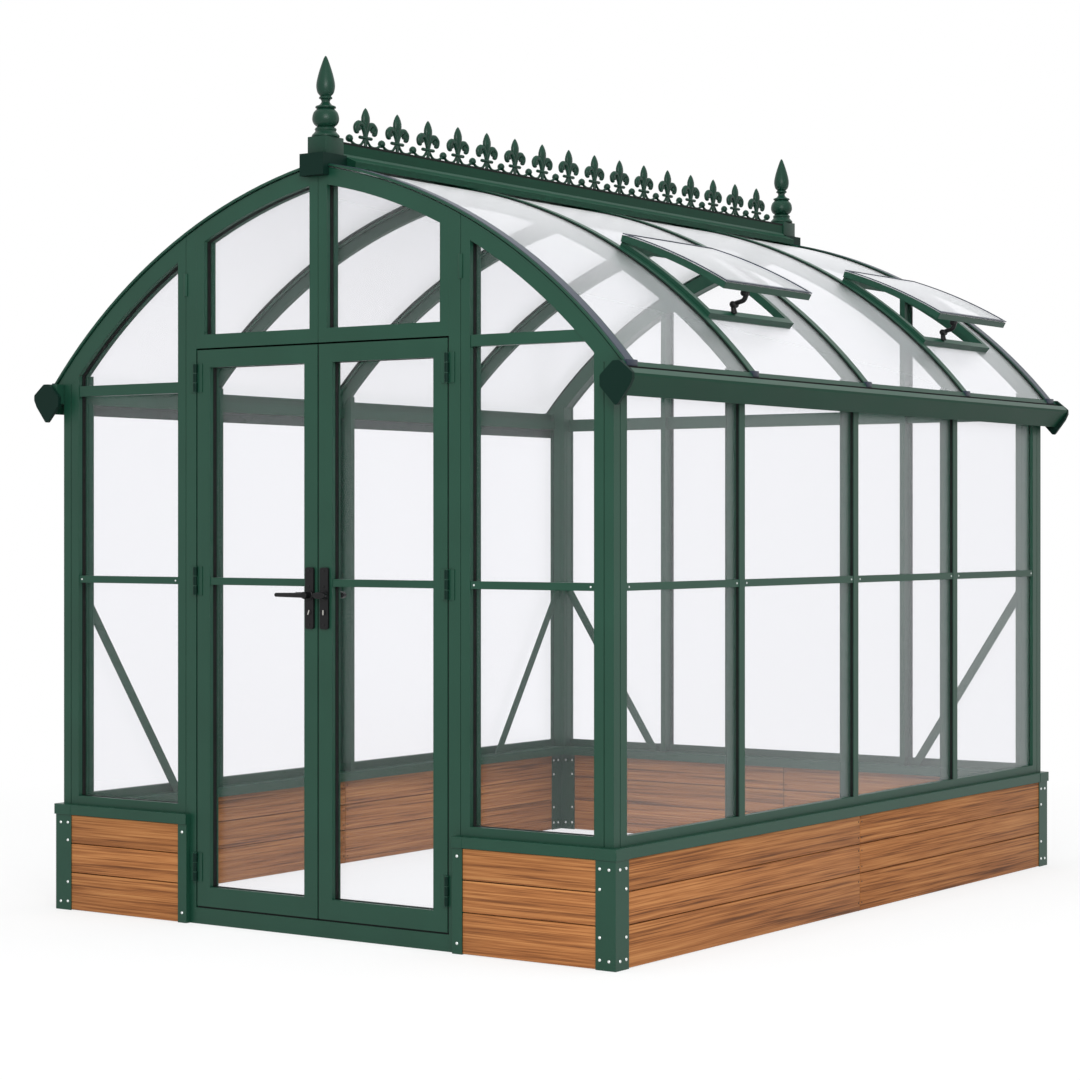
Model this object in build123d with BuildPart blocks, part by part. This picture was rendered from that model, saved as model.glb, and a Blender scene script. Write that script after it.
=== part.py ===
from build123d import *
from math import acos, asin, atan2, cos, degrees, radians, sin, sqrt
import os

# A garden greenhouse: a green powder-coated aluminium frame glazed all round, on a low boarded base,
# under a pointed curved roof with two raised vents, cresting and finials along the ridge.
# Origin on the ground under the middle, +Z up, the double doors face -Y. Lengths are in millimetres.

# Overall sizes
base_width = 2440
base_length = 3200
eave_seat = 1903
roof_rise = 717
ridge_slope_share = 0.334
frame_inset = 20

# Clearances
fit = 0.3
joint_line = 2
overrun = 20

# Base
base_height = 345
panel_thick = 40
panel_joint = 1
angle_leg = 76
angle_thick = 3
strip_width = 40
strip_lap = 28
sill_height = 36
sill_width = 100
sill_overhang = 4

# Upright frame
corner_post = 75
groove_width = 3
groove_depth = 3
groove_place = 37
flange_width = 36
flange_thick = 12
web_width = 16
bar_depth = 57
wall_bays = 4
back_mullion_place = 597
gable_depth = 60

# Glass and its rebates
glass = 4
glass_inset = 13
front_glass_inset = 34
slot_depth = 8

# Rails
bottom_rail = 32
head_rail = 40
head_rail_drop = 71
rail_depth = 24
front_rail_depth = 45
mid_rail_height = 1197
mid_rail = 25
mid_rail_depth = 11
front_mid_rail_depth = 31
tie_rail = 38
left_tie_drop = 27
right_tie_rise = 87
back_tie_rail = 54
back_tie_depth = 20
back_tie_drop = 53
brace_width = 35
brace_thick = 6
brace_inset = 44
brace_reach = 475
brace_top = 1110

# Roof
cap_thick = 8
cap_width = 36
gable_cap_width = 58
gable_cap_lap = 6
arch_band = 58
rib_depth = 50
rib_width = 36
purlin_width = 40
purlin_depth = 50
ridge_gap = 6

# Eaves
beam_width = 40
beam_depth = 70
fascia_drop = 24
fascia_reach = 18
fascia_slope = 12
gutter_reach = 60
gutter_depth = 83
gutter_wall = 4
gutter_foot = 8
gutter_lip = 16
gutter_bevel = 16
gutter_edge = 8
eave_overhang = 36
end_cap_width = 122
end_cap_height = 143
end_cap_thick = 14
end_cap_round = 9

# Ridge
ridge_half_width = 35
ridge_box_rise = 75
ridge_wing_reach = 90
ridge_wing_rise = 28
ridge_wing_fall = 24
end_block_width = 103
end_block_drop = 49
end_block_rise = 26
end_block_reach = 30
end_block_length = 126
plinth_width = 80
plinth_length = 96
plinth_height = 60
finial_inset = 40
finial_height = 278
finial_radius = 47
crest_count = 16
crest_end_gap = 78
crest_height = 140
crest_thick = 14
curl_radius = 19
curl_width = 15
collar_width = 66
collar_height = 12
stem_width = 13
scroll_width = 9
crest_knob_radius = 14

# Doors
door_opening = 1108
jamb_width = 47
side_stile = 37
threshold_height = 56
threshold_depth = 60
leaf_gap = 6
leaf_bottom = 62
door_head_rise = 100
leaf_depth = 45
leaf_stile = 58
leaf_top_rail = 62
leaf_bottom_rail = 68
door_head_rail = 48
fan_stile = 37

# Door furniture
hinge_length = 100
hinge_radius = 7
hinge_pin = 3
hinge_offset = 8
hinge_plate = 3
hinge_plate_width = 19
hinge_knuckle_gap = 1
hinge_height_shares = (0.07, 0.585, 0.95)
plate_width = 36
plate_height = 208
plate_thick = 9
plate_round = 8
handle_height = 1155
plate_drop = 10
spindle_radius = 6
spindle_fit = 0.5
hub_radius = 12
hub_reach = 29
lever_length = 135
lever_radius = 9
lever_tip_radius = 7
knob_width = 54
knob_height = 26
knob_thick = 18
knob_round = 5

# Roof vents
vent_top_angle = 30.2
vent_low_angle = 42.3
vent_open_angle = 12.5
vent_width = 570
curb_bar = 26
curb_rise = 14
sash_lap = 8
sash_bar = 32
sash_thick = 28
stay_width = 16
stay_thick = 8
stay_place_share = 0.3

# Places worked out from the sizes above
base_x = base_width / 2
base_y = base_length / 2
frame_x = base_x - frame_inset
frame_y = base_y - frame_inset
sill_top = base_height + sill_height
leaf_top = eave_seat + door_head_rise
ridge_height = eave_seat + roof_rise
ridge_top = ridge_height + ridge_box_rise
end_block_top = ridge_height + end_block_rise
plinth_top = end_block_top + plinth_height
beam_in = frame_x + fit
beam_out = beam_in + beam_width
fascia_top = beam_out + fascia_reach - fascia_slope
ridge_slope = ridge_slope_share * degrees(atan2(roof_rise, fascia_top))
foot_lean = roof_rise * cos(radians(ridge_slope)) - fascia_top * sin(radians(ridge_slope))
roof_radius = (fascia_top ** 2 + roof_rise ** 2) / (2 * foot_lean)
arch_shift = roof_radius * sin(radians(ridge_slope))
arch_centre = ridge_height - roof_radius * cos(radians(ridge_slope))
rib_top_inset = cap_thick + glass + 2 * fit
arch_inner_inset = rib_top_inset + arch_band
rib_inner_inset = rib_top_inset + rib_depth
corner_x = frame_x - corner_post
corner_y = frame_y - corner_post
jamb_in = door_opening / 2
jamb_out = jamb_in + jamb_width
stile_in = jamb_out + joint_line
stile_out = stile_in + side_stile
bay_pitch = base_length / wall_bays
bar_places = [bay_pitch * (step + 1) - base_y for step in range(wall_bays - 1)]
back_places = [-back_mullion_place, back_mullion_place]
eave_end = frame_y + eave_overhang
vent_bays = range(1, wall_bays, 2)
gable_ends = (-1, 1)


def gable_plane(y):
    """Upright plane across the building: local x is +X and local y is +Z."""
    return Plane.XZ.offset(-y)


def arch_foot(inset, height):
    """Half span, at one height, of the roof outline drawn in by inset."""
    return sqrt((roof_radius - inset) ** 2 - (height - arch_centre) ** 2) - arch_shift


def arch_face(inset, bottom, mode=Mode.ADD):
    """Pointed-arch face of two equal arcs, drawn in by inset and cut level at the bottom."""
    radius = roof_radius - inset
    low = degrees(asin((bottom - arch_centre) / radius))
    high = degrees(acos(arch_shift / radius))
    with BuildLine() as outline:
        right = CenterArc((-arch_shift, arch_centre), radius, low, high - low)
        left = CenterArc((arch_shift, arch_centre), radius, 180 - low, low - high)
        Line(left @ 0, right @ 0)
    make_face(outline.edges(), mode=mode)


def bar(x_span, y_span, z_span, mode=Mode.ADD):
    """Square-edged bar that fills three spans."""
    with BuildSketch(Plane.XY.offset(z_span[0])) as section:
        with Locations((sum(x_span) / 2, sum(y_span) / 2)):
            Rectangle(abs(x_span[1] - x_span[0]), abs(y_span[1] - y_span[0]))
    extrude(section.sketch, amount=z_span[1] - z_span[0], mode=mode)


def wall_bar(wall, along, depth, height, mode=Mode.ADD):
    """Bar in one wall: its span along the wall, its depth behind the outer face, its heights."""
    sign = 1 if wall in ("right", "back") else -1
    face = frame_x if wall in ("left", "right") else frame_y
    across = [sign * (face - part_depth) for part_depth in depth]
    if wall in ("left", "right"):
        bar(across, along, height, mode)
    else:
        bar(along, across, height, mode)


def clear_spans(end, places, half_width):
    """Spans left along a wall between its end posts and the bars between them."""
    edges = [-end]
    for place in places:
        edges += [place - half_width, place + half_width]
    edges.append(end)
    return list(zip(edges[0::2], edges[1::2]))


def trim_to_arch(inset, y_span):
    """Cut away what stands above the eave seat outside the arch drawn in by inset."""
    with BuildSketch(gable_plane(y_span[0])) as waste:
        with Locations((0, (eave_seat + ridge_height + overrun) / 2)):
            Rectangle(base_width, ridge_height + overrun - eave_seat)
        arch_face(inset, eave_seat - overrun, Mode.SUBTRACT)
    extrude(waste.sketch, amount=y_span[0] - y_span[1], mode=Mode.SUBTRACT)


def arch_prism(inset, bottom, x_span, y_span, mode=Mode.ADD):
    """Prism under the arch drawn in by inset, between two uprights and above a level."""
    with BuildSketch(gable_plane(y_span[0])) as section:
        arch_face(inset, bottom)
        with Locations((sum(x_span) / 2, (bottom + ridge_height) / 2)):
            Rectangle(abs(x_span[1] - x_span[0]), ridge_height - bottom, mode=Mode.INTERSECT)
    extrude(section.sketch, amount=y_span[0] - y_span[1], mode=mode)


def roof_band(side, insets, angles, y_span, mode=Mode.ADD):
    """Curved sheet on one slope between two angles from the upright, at two insets."""
    centre = (-side * arch_shift, arch_centre)
    turn = -side * (angles[1] - angles[0])
    with BuildSketch(gable_plane(y_span[0])) as section:
        with BuildLine():
            low = CenterArc(centre, roof_radius - insets[1], 90 - side * angles[0], turn)
            high = CenterArc(centre, roof_radius - insets[0], 90 - side * angles[0], turn)
            Line(low @ 0, high @ 0)
            Line(low @ 1, high @ 1)
        make_face()
    extrude(section.sketch, amount=y_span[0] - y_span[1], mode=mode)


side_webs = clear_spans(corner_y, bar_places, web_width / 2)
side_flanges = clear_spans(corner_y, bar_places, flange_width / 2)
back_webs = clear_spans(corner_x, back_places, web_width / 2)
back_flanges = clear_spans(corner_x, back_places, flange_width / 2)
side_walls = ("left", "right")
os.makedirs("parts", exist_ok=True)

# Base: boarded panels, two to a long side, notched behind the strips that close the doorway
panel_x = base_x - angle_thick
panel_y = base_y - angle_thick
strip_in = jamb_in + strip_lap
strip_out = strip_in + strip_width
for wall, side in (("left", -1), ("right", 1)):
    with BuildPart() as base_side:
        bar((side * (panel_x - panel_thick), side * panel_x), (panel_joint / 2, panel_y), (0, base_height))
        mirror(about=Plane.XZ)
    base_side.part.label = f"base_{wall}_panels"
    export_step(base_side.part, f"parts/base_{wall}_panels.step")

with BuildPart() as base_front:
    bar((strip_out, panel_x - panel_thick), (-panel_y, panel_thick - panel_y), (0, base_height))
    bar((0, stile_out), (-frame_y - fit, frame_y), (-overrun, base_height + overrun), Mode.SUBTRACT)
    mirror(about=Plane.YZ)
base_front.part.label = "base_front_panels"
export_step(base_front.part, "parts/base_front_panels.step")

with BuildPart() as base_back:
    bar((panel_joint / 2, panel_x - panel_thick), (panel_y - panel_thick, panel_y), (0, base_height))
    mirror(about=Plane.YZ)
base_back.part.label = "base_back_panels"
export_step(base_back.part, "parts/base_back_panels.step")

# Angles riveted over the base's corners, outside and inside, and the strips beside the doorway
with BuildPart() as base_angles:
    bar((base_x - angle_leg, base_x), (base_y - angle_leg, base_y), (0, base_height))
    bar((0, panel_x), (0, panel_y), (-overrun, base_height + overrun), Mode.SUBTRACT)
    inner_x = panel_x - panel_thick
    inner_y = panel_y - panel_thick
    bar((inner_x - angle_leg, inner_x), (inner_y - angle_leg, inner_y), (0, base_height))
    bar((0, inner_x - angle_thick), (0, inner_y - angle_thick), (-overrun, base_height + overrun),
        Mode.SUBTRACT)
    mirror(about=Plane.XZ)
    mirror(about=Plane.YZ)
    for side in gable_ends:
        bar((side * strip_in, side * strip_out), (-base_y, -panel_y), (0, base_height))
        bar((side * strip_in, side * (strip_out - fit)), (-panel_y, -frame_y - fit), (0, base_height))
base_angles.part.label = "base_angles"
export_step(base_angles.part, "parts/base_angles.step")

# Sill rails: mitred caps on the base, notched round the door posts
sill_x = base_x + sill_overhang
sill_y = base_y + sill_overhang
with BuildPart() as side_sills:
    with BuildSketch(Plane.XY.offset(base_height)):
        with BuildLine():
            Polyline(
                (sill_x, -sill_y),
                (sill_x, sill_y),
                (sill_x - sill_width, sill_y - sill_width),
                (sill_x - sill_width, sill_width - sill_y),
                close=True,
            )
        make_face()
    extrude(amount=sill_height)
    mirror(about=Plane.YZ)
side_sills.part.label = "side_sills"
export_step(side_sills.part, "parts/side_sills.step")

with BuildPart() as gable_sills:
    with BuildSketch(Plane.XY.offset(base_height)):
        with BuildLine():
            Polyline(
                (strip_in, -sill_y),
                (sill_x, -sill_y),
                (sill_x - sill_width, sill_width - sill_y),
                (strip_in, sill_width - sill_y),
                close=True,
            )
        make_face()
    extrude(amount=sill_height)
    bar((0, jamb_out + fit), (-frame_y - fit, 0), (0, sill_top + overrun), Mode.SUBTRACT)
    mirror(about=Plane.YZ)
    with BuildSketch(Plane.XY.offset(base_height)):
        with BuildLine():
            Polyline(
                (-sill_x, sill_y),
                (sill_x, sill_y),
                (sill_x - sill_width, sill_y - sill_width),
                (sill_width - sill_x, sill_y - sill_width),
                close=True,
            )
        make_face()
    extrude(amount=sill_height)
gable_sills.part.label = "gable_sills"
export_step(gable_sills.part, "parts/gable_sills.step")

# Corner posts: square, grooved on the two outer faces, slotted for the glass of both walls
slot_span = (glass_inset - fit, glass_inset + glass + fit)
front_slot_span = (front_glass_inset - fit, front_glass_inset + glass + fit)
with BuildPart() as corner_posts:
    post_height = (sill_top, ridge_height)
    bar((corner_x, frame_x), (-frame_y, -corner_y), post_height)
    mirror(about=Plane.XZ)
    groove_x = corner_x + groove_place
    for wall, slot in (("front", front_slot_span), ("back", slot_span)):
        wall_bar(wall, (corner_x, corner_x + slot_depth), slot, post_height, Mode.SUBTRACT)
        wall_bar(wall, (groove_x, groove_x + groove_width), (0, groove_depth), post_height, Mode.SUBTRACT)
    for end in gable_ends:
        slot_along = (end * corner_y, end * (corner_y + slot_depth))
        groove_along = (end * (corner_y + groove_place), end * (corner_y + groove_place + groove_width))
        wall_bar("right", slot_along, slot_span, post_height, Mode.SUBTRACT)
        wall_bar("right", groove_along, (0, groove_depth), post_height, Mode.SUBTRACT)
    trim_to_arch(arch_inner_inset + fit, (-frame_y - overrun, frame_y + overrun))
    mirror(about=Plane.YZ)
corner_posts.part.label = "corner_posts"
export_step(corner_posts.part, "parts/corner_posts.step")

# Glazing bars of the long walls: an outer flange that covers the glass edges, and a web behind it
with BuildPart() as side_bars:
    for wall in side_walls:
        for place in bar_places:
            flange = (place - flange_width / 2, place + flange_width / 2)
            web = (place - web_width / 2, place + web_width / 2)
            wall_bar(wall, flange, (0, flange_thick), (sill_top, ridge_height))
            wall_bar(wall, web, (flange_thick, bar_depth), (sill_top, ridge_height))
    trim_to_arch(rib_inner_inset + fit, (-frame_y, frame_y))
side_bars.part.label = "side_wall_bars"
export_step(side_bars.part, "parts/side_wall_bars.step")

# Back wall bars, the same section, up to the back arch
with BuildPart() as back_bars:
    for place in back_places:
        flange = (place - flange_width / 2, place + flange_width / 2)
        web = (place - web_width / 2, place + web_width / 2)
        wall_bar("back", flange, (0, flange_thick), (sill_top, ridge_height))
        wall_bar("back", web, (flange_thick, bar_depth), (sill_top, ridge_height))
    trim_to_arch(arch_inner_inset + fit, (0, frame_y + overrun))
back_bars.part.label = "back_wall_bars"
export_step(back_bars.part, "parts/back_wall_bars.step")

# Door posts: from the ground to the roof edge, either side of the doors and fanlights
with BuildPart() as door_posts:
    for side in gable_ends:
        bar((side * jamb_in, side * jamb_out), (-frame_y, gable_depth - frame_y), (0, ridge_height))
    trim_to_arch(rib_top_inset, (-frame_y - overrun, 0))
door_posts.part.label = "door_posts"
export_step(door_posts.part, "parts/door_posts.step")

# Front side panels: welded frames with a stile, a bottom rail and an arched top rail that runs to the eave
front_face = -frame_y
front_back = gable_depth - frame_y
glass_front = (front_glass_inset - frame_y, front_glass_inset + glass - frame_y)
slot_front = (glass_front[0] - fit, glass_front[1] + fit)
with BuildPart() as sidelights:
    outer = arch_foot(rib_top_inset, eave_seat) + overrun
    arch_prism(rib_top_inset, eave_seat, (stile_in, outer), (front_face, front_back))
    arch_prism(arch_inner_inset, eave_seat - overrun, (0, outer), (front_face, front_back), Mode.SUBTRACT)
    arch_prism(arch_inner_inset, sill_top, (stile_in, stile_out), (front_face, front_back))
    bar((stile_out, corner_x), (front_face, front_face + front_rail_depth),
        (sill_top, sill_top + bottom_rail))
    arch_prism(arch_inner_inset - slot_depth, sill_top + bottom_rail - slot_depth,
               (stile_out - slot_depth, corner_x + slot_depth), slot_front, Mode.SUBTRACT)
    mirror(about=Plane.YZ)
sidelights.part.label = "side_panel_frames"
export_step(sidelights.part, "parts/side_panel_frames.step")

# Fanlights over the doors: two frames with arched tops that meet in the middle
with BuildPart() as fanlights:
    fan_in = joint_line / 2
    fan_out = jamb_in
    fan_bottom = leaf_top + leaf_gap
    fan_sight = (fan_in + fan_stile, fan_out - fan_stile)
    arch_prism(rib_top_inset, fan_bottom, (fan_in, fan_out), (front_face, front_back))
    arch_prism(arch_inner_inset, fan_bottom + door_head_rail, fan_sight, (front_face, front_back),
               Mode.SUBTRACT)
    arch_prism(arch_inner_inset - slot_depth, fan_bottom + door_head_rail - slot_depth,
               (fan_sight[0] - slot_depth, fan_sight[1] + slot_depth), slot_front, Mode.SUBTRACT)
    mirror(about=Plane.YZ)
fanlights.part.label = "fanlight_frames"
export_step(fanlights.part, "parts/fanlight_frames.step")

# Back arch: one curved band from eave to eave, slotted for the glass
with BuildPart() as back_arch:
    with BuildSketch(gable_plane(frame_y)):
        arch_face(rib_top_inset, eave_seat)
        arch_face(arch_inner_inset, eave_seat - overrun, Mode.SUBTRACT)
    extrude(amount=gable_depth)
    with BuildSketch(gable_plane(frame_y - glass_inset + fit)):
        arch_face(arch_inner_inset - slot_depth, eave_seat - overrun)
    extrude(amount=glass + 2 * fit, mode=Mode.SUBTRACT)
back_arch.part.label = "back_arch"
export_step(back_arch.part, "parts/back_arch.step")

# Wall rails: bottom and head rails slotted for the glass, mid rails before it on the right wall and the front
head_bottom = eave_seat - head_rail_drop
before_glass = (slot_span[0] - mid_rail_depth, slot_span[0])
before_front_glass = (front_slot_span[0] - front_mid_rail_depth, front_slot_span[0])
mid_span = (mid_rail_height - mid_rail / 2, mid_rail_height + mid_rail / 2)


def glazing_rail(wall, flanges, webs, height, slot_height):
    """Rail of one bay that fills in between the flanges and the webs, with a slot for the pane."""
    wall_bar(wall, flanges, (0, flange_thick), height)
    wall_bar(wall, webs, (flange_thick, rail_depth), height)
    wall_bar(wall, webs, slot_span, slot_height, Mode.SUBTRACT)


with BuildPart() as wall_rails:
    sill_span = (sill_top, sill_top + bottom_rail)
    head_span = (head_bottom, head_bottom + head_rail)
    sill_slot = (sill_span[1] - slot_depth, sill_span[1])
    head_slot = (head_span[0], head_span[0] + slot_depth)
    for wall in side_walls:
        for webs, flanges in zip(side_webs, side_flanges):
            glazing_rail(wall, flanges, webs, sill_span, sill_slot)
            glazing_rail(wall, flanges, webs, head_span, head_slot)
    for webs, flanges in zip(back_webs, back_flanges):
        glazing_rail("back", flanges, webs, sill_span, sill_slot)
    for flanges in side_flanges:
        wall_bar("right", flanges, before_glass, mid_span)
    for side in gable_ends:
        wall_bar("front", (side * stile_out, side * corner_x), before_front_glass, mid_span)
wall_rails.part.label = "wall_rails"
export_step(wall_rails.part, "parts/wall_rails.step")

# Ties across the gables, before the front glass and behind the back glass, cut where they reach the arch
with BuildPart() as gable_ties:
    for side, height in ((-1, eave_seat - left_tie_drop), (1, eave_seat + right_tie_rise)):
        tie_span = (height - tie_rail / 2, height + tie_rail / 2)
        wall_bar("front", (side * stile_out, side * corner_x), before_front_glass, tie_span)
    back_tie = eave_seat - back_tie_drop
    for webs in back_webs:
        wall_bar("back", webs, (slot_span[1], slot_span[1] + back_tie_depth),
                 (back_tie - back_tie_rail / 2, back_tie + back_tie_rail / 2))
    trim_to_arch(arch_inner_inset + fit, (-frame_y - overrun, 0))
gable_ties.part.label = "gable_ties"
export_step(gable_ties.part, "parts/gable_ties.step")

# Diagonal braces: flat bars from the corner posts to the sill on the left and back walls
brace_slope = sqrt(brace_reach ** 2 + (brace_top - sill_top) ** 2)
brace_rise = brace_width * brace_slope / brace_reach
brace_run = brace_width * brace_slope / (brace_top - sill_top)


def brace(plane, end, turn):
    """Flat bar that leans on a corner post at one end of a wall and stands on the sill."""
    with BuildSketch(plane) as section:
        with BuildLine():
            foot = end + turn * brace_reach
            Polyline(
                (end, brace_top + brace_rise / 2),
                (end, brace_top - brace_rise / 2),
                (foot - turn * brace_run / 2, sill_top),
                (foot + turn * brace_run / 2, sill_top),
                close=True,
            )
        make_face()
    extrude(section.sketch, amount=brace_thick)


with BuildPart() as wall_braces:
    for turn in gable_ends:
        brace(Plane.YZ.offset(brace_inset - frame_x), -turn * corner_y, turn)
        brace(gable_plane(frame_y - brace_inset), -turn * corner_x, turn)
wall_braces.part.label = "wall_braces"
export_step(wall_braces.part, "parts/wall_braces.step")

# Eave beams: carry the feet of the roof ribs outside the wall line, with a sloping fascia over the gutter
with BuildPart() as eave_beams:
    with BuildSketch(gable_plane(-eave_end)):
        with BuildLine():
            Polyline(
                (beam_in, eave_seat - beam_depth),
                (beam_in, eave_seat),
                (fascia_top, eave_seat),
                (fascia_top + fascia_slope, eave_seat - fascia_drop),
                (beam_out, eave_seat - fascia_drop),
                (beam_out, eave_seat - beam_depth),
                close=True,
            )
        make_face()
    extrude(amount=-2 * eave_end)
    mirror(about=Plane.YZ)
eave_beams.part.label = "eave_beams"
export_step(eave_beams.part, "parts/eave_beams.step")

# Gutters: folded troughs hung on the eave beams, wide at the top third and drawn in below
gutter_top = eave_seat - fascia_drop - fit
gutter_bottom = gutter_top - gutter_depth
gutter_out = beam_out + gutter_reach
shoulder = gutter_top - gutter_bevel
with BuildPart() as gutters:
    with BuildSketch(gable_plane(-eave_end)):
        with BuildLine():
            Polyline(
                (beam_out, gutter_top),
                (beam_out, gutter_bottom),
                (beam_out + gutter_foot, gutter_bottom),
                (gutter_out, shoulder - gutter_edge),
                (gutter_out, shoulder),
                (gutter_out - gutter_lip, gutter_top),
                close=True,
            )
        make_face()
        with BuildLine():
            inner_foot = gutter_bottom + gutter_wall
            Polyline(
                (beam_out + gutter_wall, gutter_top + overrun),
                (beam_out + gutter_wall, inner_foot),
                (beam_out + gutter_foot - gutter_wall / 2, inner_foot),
                (gutter_out - gutter_wall, shoulder - gutter_edge + gutter_wall / 2),
                (gutter_out - gutter_wall, shoulder - gutter_wall / 2),
                (gutter_out - gutter_lip - gutter_wall, gutter_top),
                (gutter_out - gutter_lip - gutter_wall, gutter_top + overrun),
                close=True,
            )
        make_face(mode=Mode.SUBTRACT)
    extrude(amount=-2 * eave_end)
    mirror(about=Plane.YZ)
gutters.part.label = "gutters"
export_step(gutters.part, "parts/gutters.step")

# End caps: shield-shaped castings that close the eave beam and the gutter
end_cap_shares = ((-0.1, 0), (0.11, 0), (0.5, 0.27), (0.5, 0.4), (0.4, 0.57), (0, 1), (-0.5, 0.55),
                  (-0.5, 0.31))
end_cap_x = beam_out
end_cap_top = eave_seat
with BuildPart() as end_caps:
    with BuildSketch(gable_plane(-eave_end)) as end_cap_outline:
        with BuildLine():
            Polyline(
                *[(end_cap_x + across * end_cap_width, end_cap_top - down * end_cap_height)
                  for across, down in end_cap_shares],
                close=True,
            )
        make_face()
        fillet(end_cap_outline.vertices(), end_cap_round)
    extrude(amount=end_cap_thick)
    mirror(about=Plane.XZ)
    mirror(about=Plane.YZ)
end_caps.part.label = "gutter_end_caps"
export_step(end_caps.part, "parts/gutter_end_caps.step")

# Roof ribs: whole pointed arches over the wall bars, feet on the bars and the eave beams
with BuildPart() as roof_ribs:
    for place in bar_places:
        with BuildSketch(gable_plane(place - rib_width / 2)):
            arch_face(rib_top_inset, eave_seat)
            arch_face(rib_inner_inset, eave_seat - overrun, Mode.SUBTRACT)
        extrude(amount=-rib_width)
roof_ribs.part.label = "roof_ribs"
export_step(roof_ribs.part, "parts/roof_ribs.step")

# Cap strips: curved covers that clamp the roof glass to the ribs and gables
gable_cap = frame_y + gable_cap_lap
cap_spans = [(place - cap_width / 2, place + cap_width / 2) for place in bar_places]
cap_spans += [(-gable_cap, gable_cap_width - gable_cap), (gable_cap - gable_cap_width, gable_cap)]
with BuildPart() as rib_caps:
    for span in cap_spans:
        with BuildSketch(gable_plane(span[0])):
            arch_face(0, eave_seat)
            arch_face(cap_thick, eave_seat - overrun, Mode.SUBTRACT)
        extrude(amount=span[0] - span[1])
rib_caps.part.label = "roof_cap_strips"
export_step(rib_caps.part, "parts/roof_cap_strips.step")

# Ridge purlins: bars under the glass joints, one to a bay between the ribs
purlin_top = arch_centre + sqrt((roof_radius - rib_top_inset) ** 2 - (arch_shift + purlin_width / 2) ** 2)
rib_spans = clear_spans(frame_y - gable_depth, bar_places, rib_width / 2)
with BuildPart() as ridge_purlins:
    for span in rib_spans:
        bar((-purlin_width / 2, purlin_width / 2), span, (purlin_top - purlin_depth, purlin_top))
ridge_purlins.part.label = "ridge_purlins"
export_step(ridge_purlins.part, "parts/ridge_purlins.step")

# Ridge capping: a box with sloping wings that lie on the cap strips and cover the glass joint
block_end = gable_cap + end_block_reach
block_inner = block_end - end_block_length
with BuildPart() as ridge_capping:
    with BuildSketch(gable_plane(-block_inner)):
        with BuildLine():
            half_line = Polyline(
                (0, ridge_top),
                (ridge_half_width, ridge_top),
                (ridge_half_width, ridge_height + ridge_wing_rise),
                (ridge_wing_reach, ridge_height + ridge_wing_rise - ridge_wing_fall),
                (ridge_wing_reach, ridge_height - ridge_wing_reach),
                (0, ridge_height - ridge_wing_reach),
            )
            mirror(half_line, about=Plane.YZ)
        make_face()
        arch_face(-fit, ridge_height - ridge_wing_reach - overrun, Mode.SUBTRACT)
    extrude(amount=-2 * block_inner)
ridge_capping.part.label = "ridge_capping"
export_step(ridge_capping.part, "parts/ridge_capping.step")

# Ridge end blocks: castings that hook over both gable arches and carry the finials
with BuildPart() as end_blocks:
    bar((-end_block_width / 2, end_block_width / 2), (-block_end, -block_inner),
        (ridge_height - end_block_drop, end_block_top))
    with BuildSketch(gable_plane(-gable_cap - fit)):
        arch_face(-fit, eave_seat)
    extrude(amount=-end_block_length, mode=Mode.SUBTRACT)
    mirror(about=Plane.XZ)
end_blocks.part.label = "ridge_end_blocks"
export_step(end_blocks.part, "parts/ridge_end_blocks.step")

# Finials: turned balls and pointed buds on square plinths
with BuildPart() as finials:
    finial_y = finial_inset - frame_y
    bar((-plinth_width / 2, plinth_width / 2), (finial_y - plinth_length / 2, finial_y + plinth_length / 2),
        (end_block_top, plinth_top))

    def turned(radius_share, height_share):
        """Point of the turned outline, in shares of the finial's radius and height above its plinth."""
        return radius_share * finial_radius, plinth_top + height_share * finial_height

    with BuildSketch(Plane.XZ.offset(-finial_y)):
        with BuildLine():
            Polyline((0, plinth_top), turned(1, 0), turned(1, 0.03), turned(0.74, 0.08), turned(0.74, 0.11),
                     turned(0.6, 0.13))
            ThreePointArc(turned(0.6, 0.13), turned(0.98, 0.23), turned(0.62, 0.345))
            Polyline(turned(0.62, 0.345), turned(0.74, 0.36), turned(0.72, 0.38), turned(0.46, 0.4),
                     turned(0.31, 0.44), turned(0.47, 0.47), turned(0.47, 0.49), turned(0.38, 0.505))
            bud = ThreePointArc(turned(0.38, 0.505), turned(0.64, 0.57), turned(0.68, 0.65))
            spire = ThreePointArc(bud @ 1, turned(0.44, 0.83), turned(0.03, 1))
            Polyline(spire @ 1, (0, plinth_top + finial_height), (0, plinth_top))
        make_face()
    revolve(axis=Axis((0, finial_y, 0), (0, 0, 1)))
    mirror(about=Plane.XZ)
finials.part.label = "finials"
export_step(finials.part, "parts/finials.step")

# Ridge cresting: one casting of fleurs-de-lis on scroll legs, with a round knob between each two
crest_half = frame_y - finial_inset - plinth_length / 2 - crest_end_gap
crest_pitch = 2 * crest_half / crest_count


def crest_point(across_share, up_share):
    """Point of one fleur, in shares of half the pitch from its stem and of its height."""
    return across_share * crest_pitch / 2, up_share * crest_height


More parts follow.
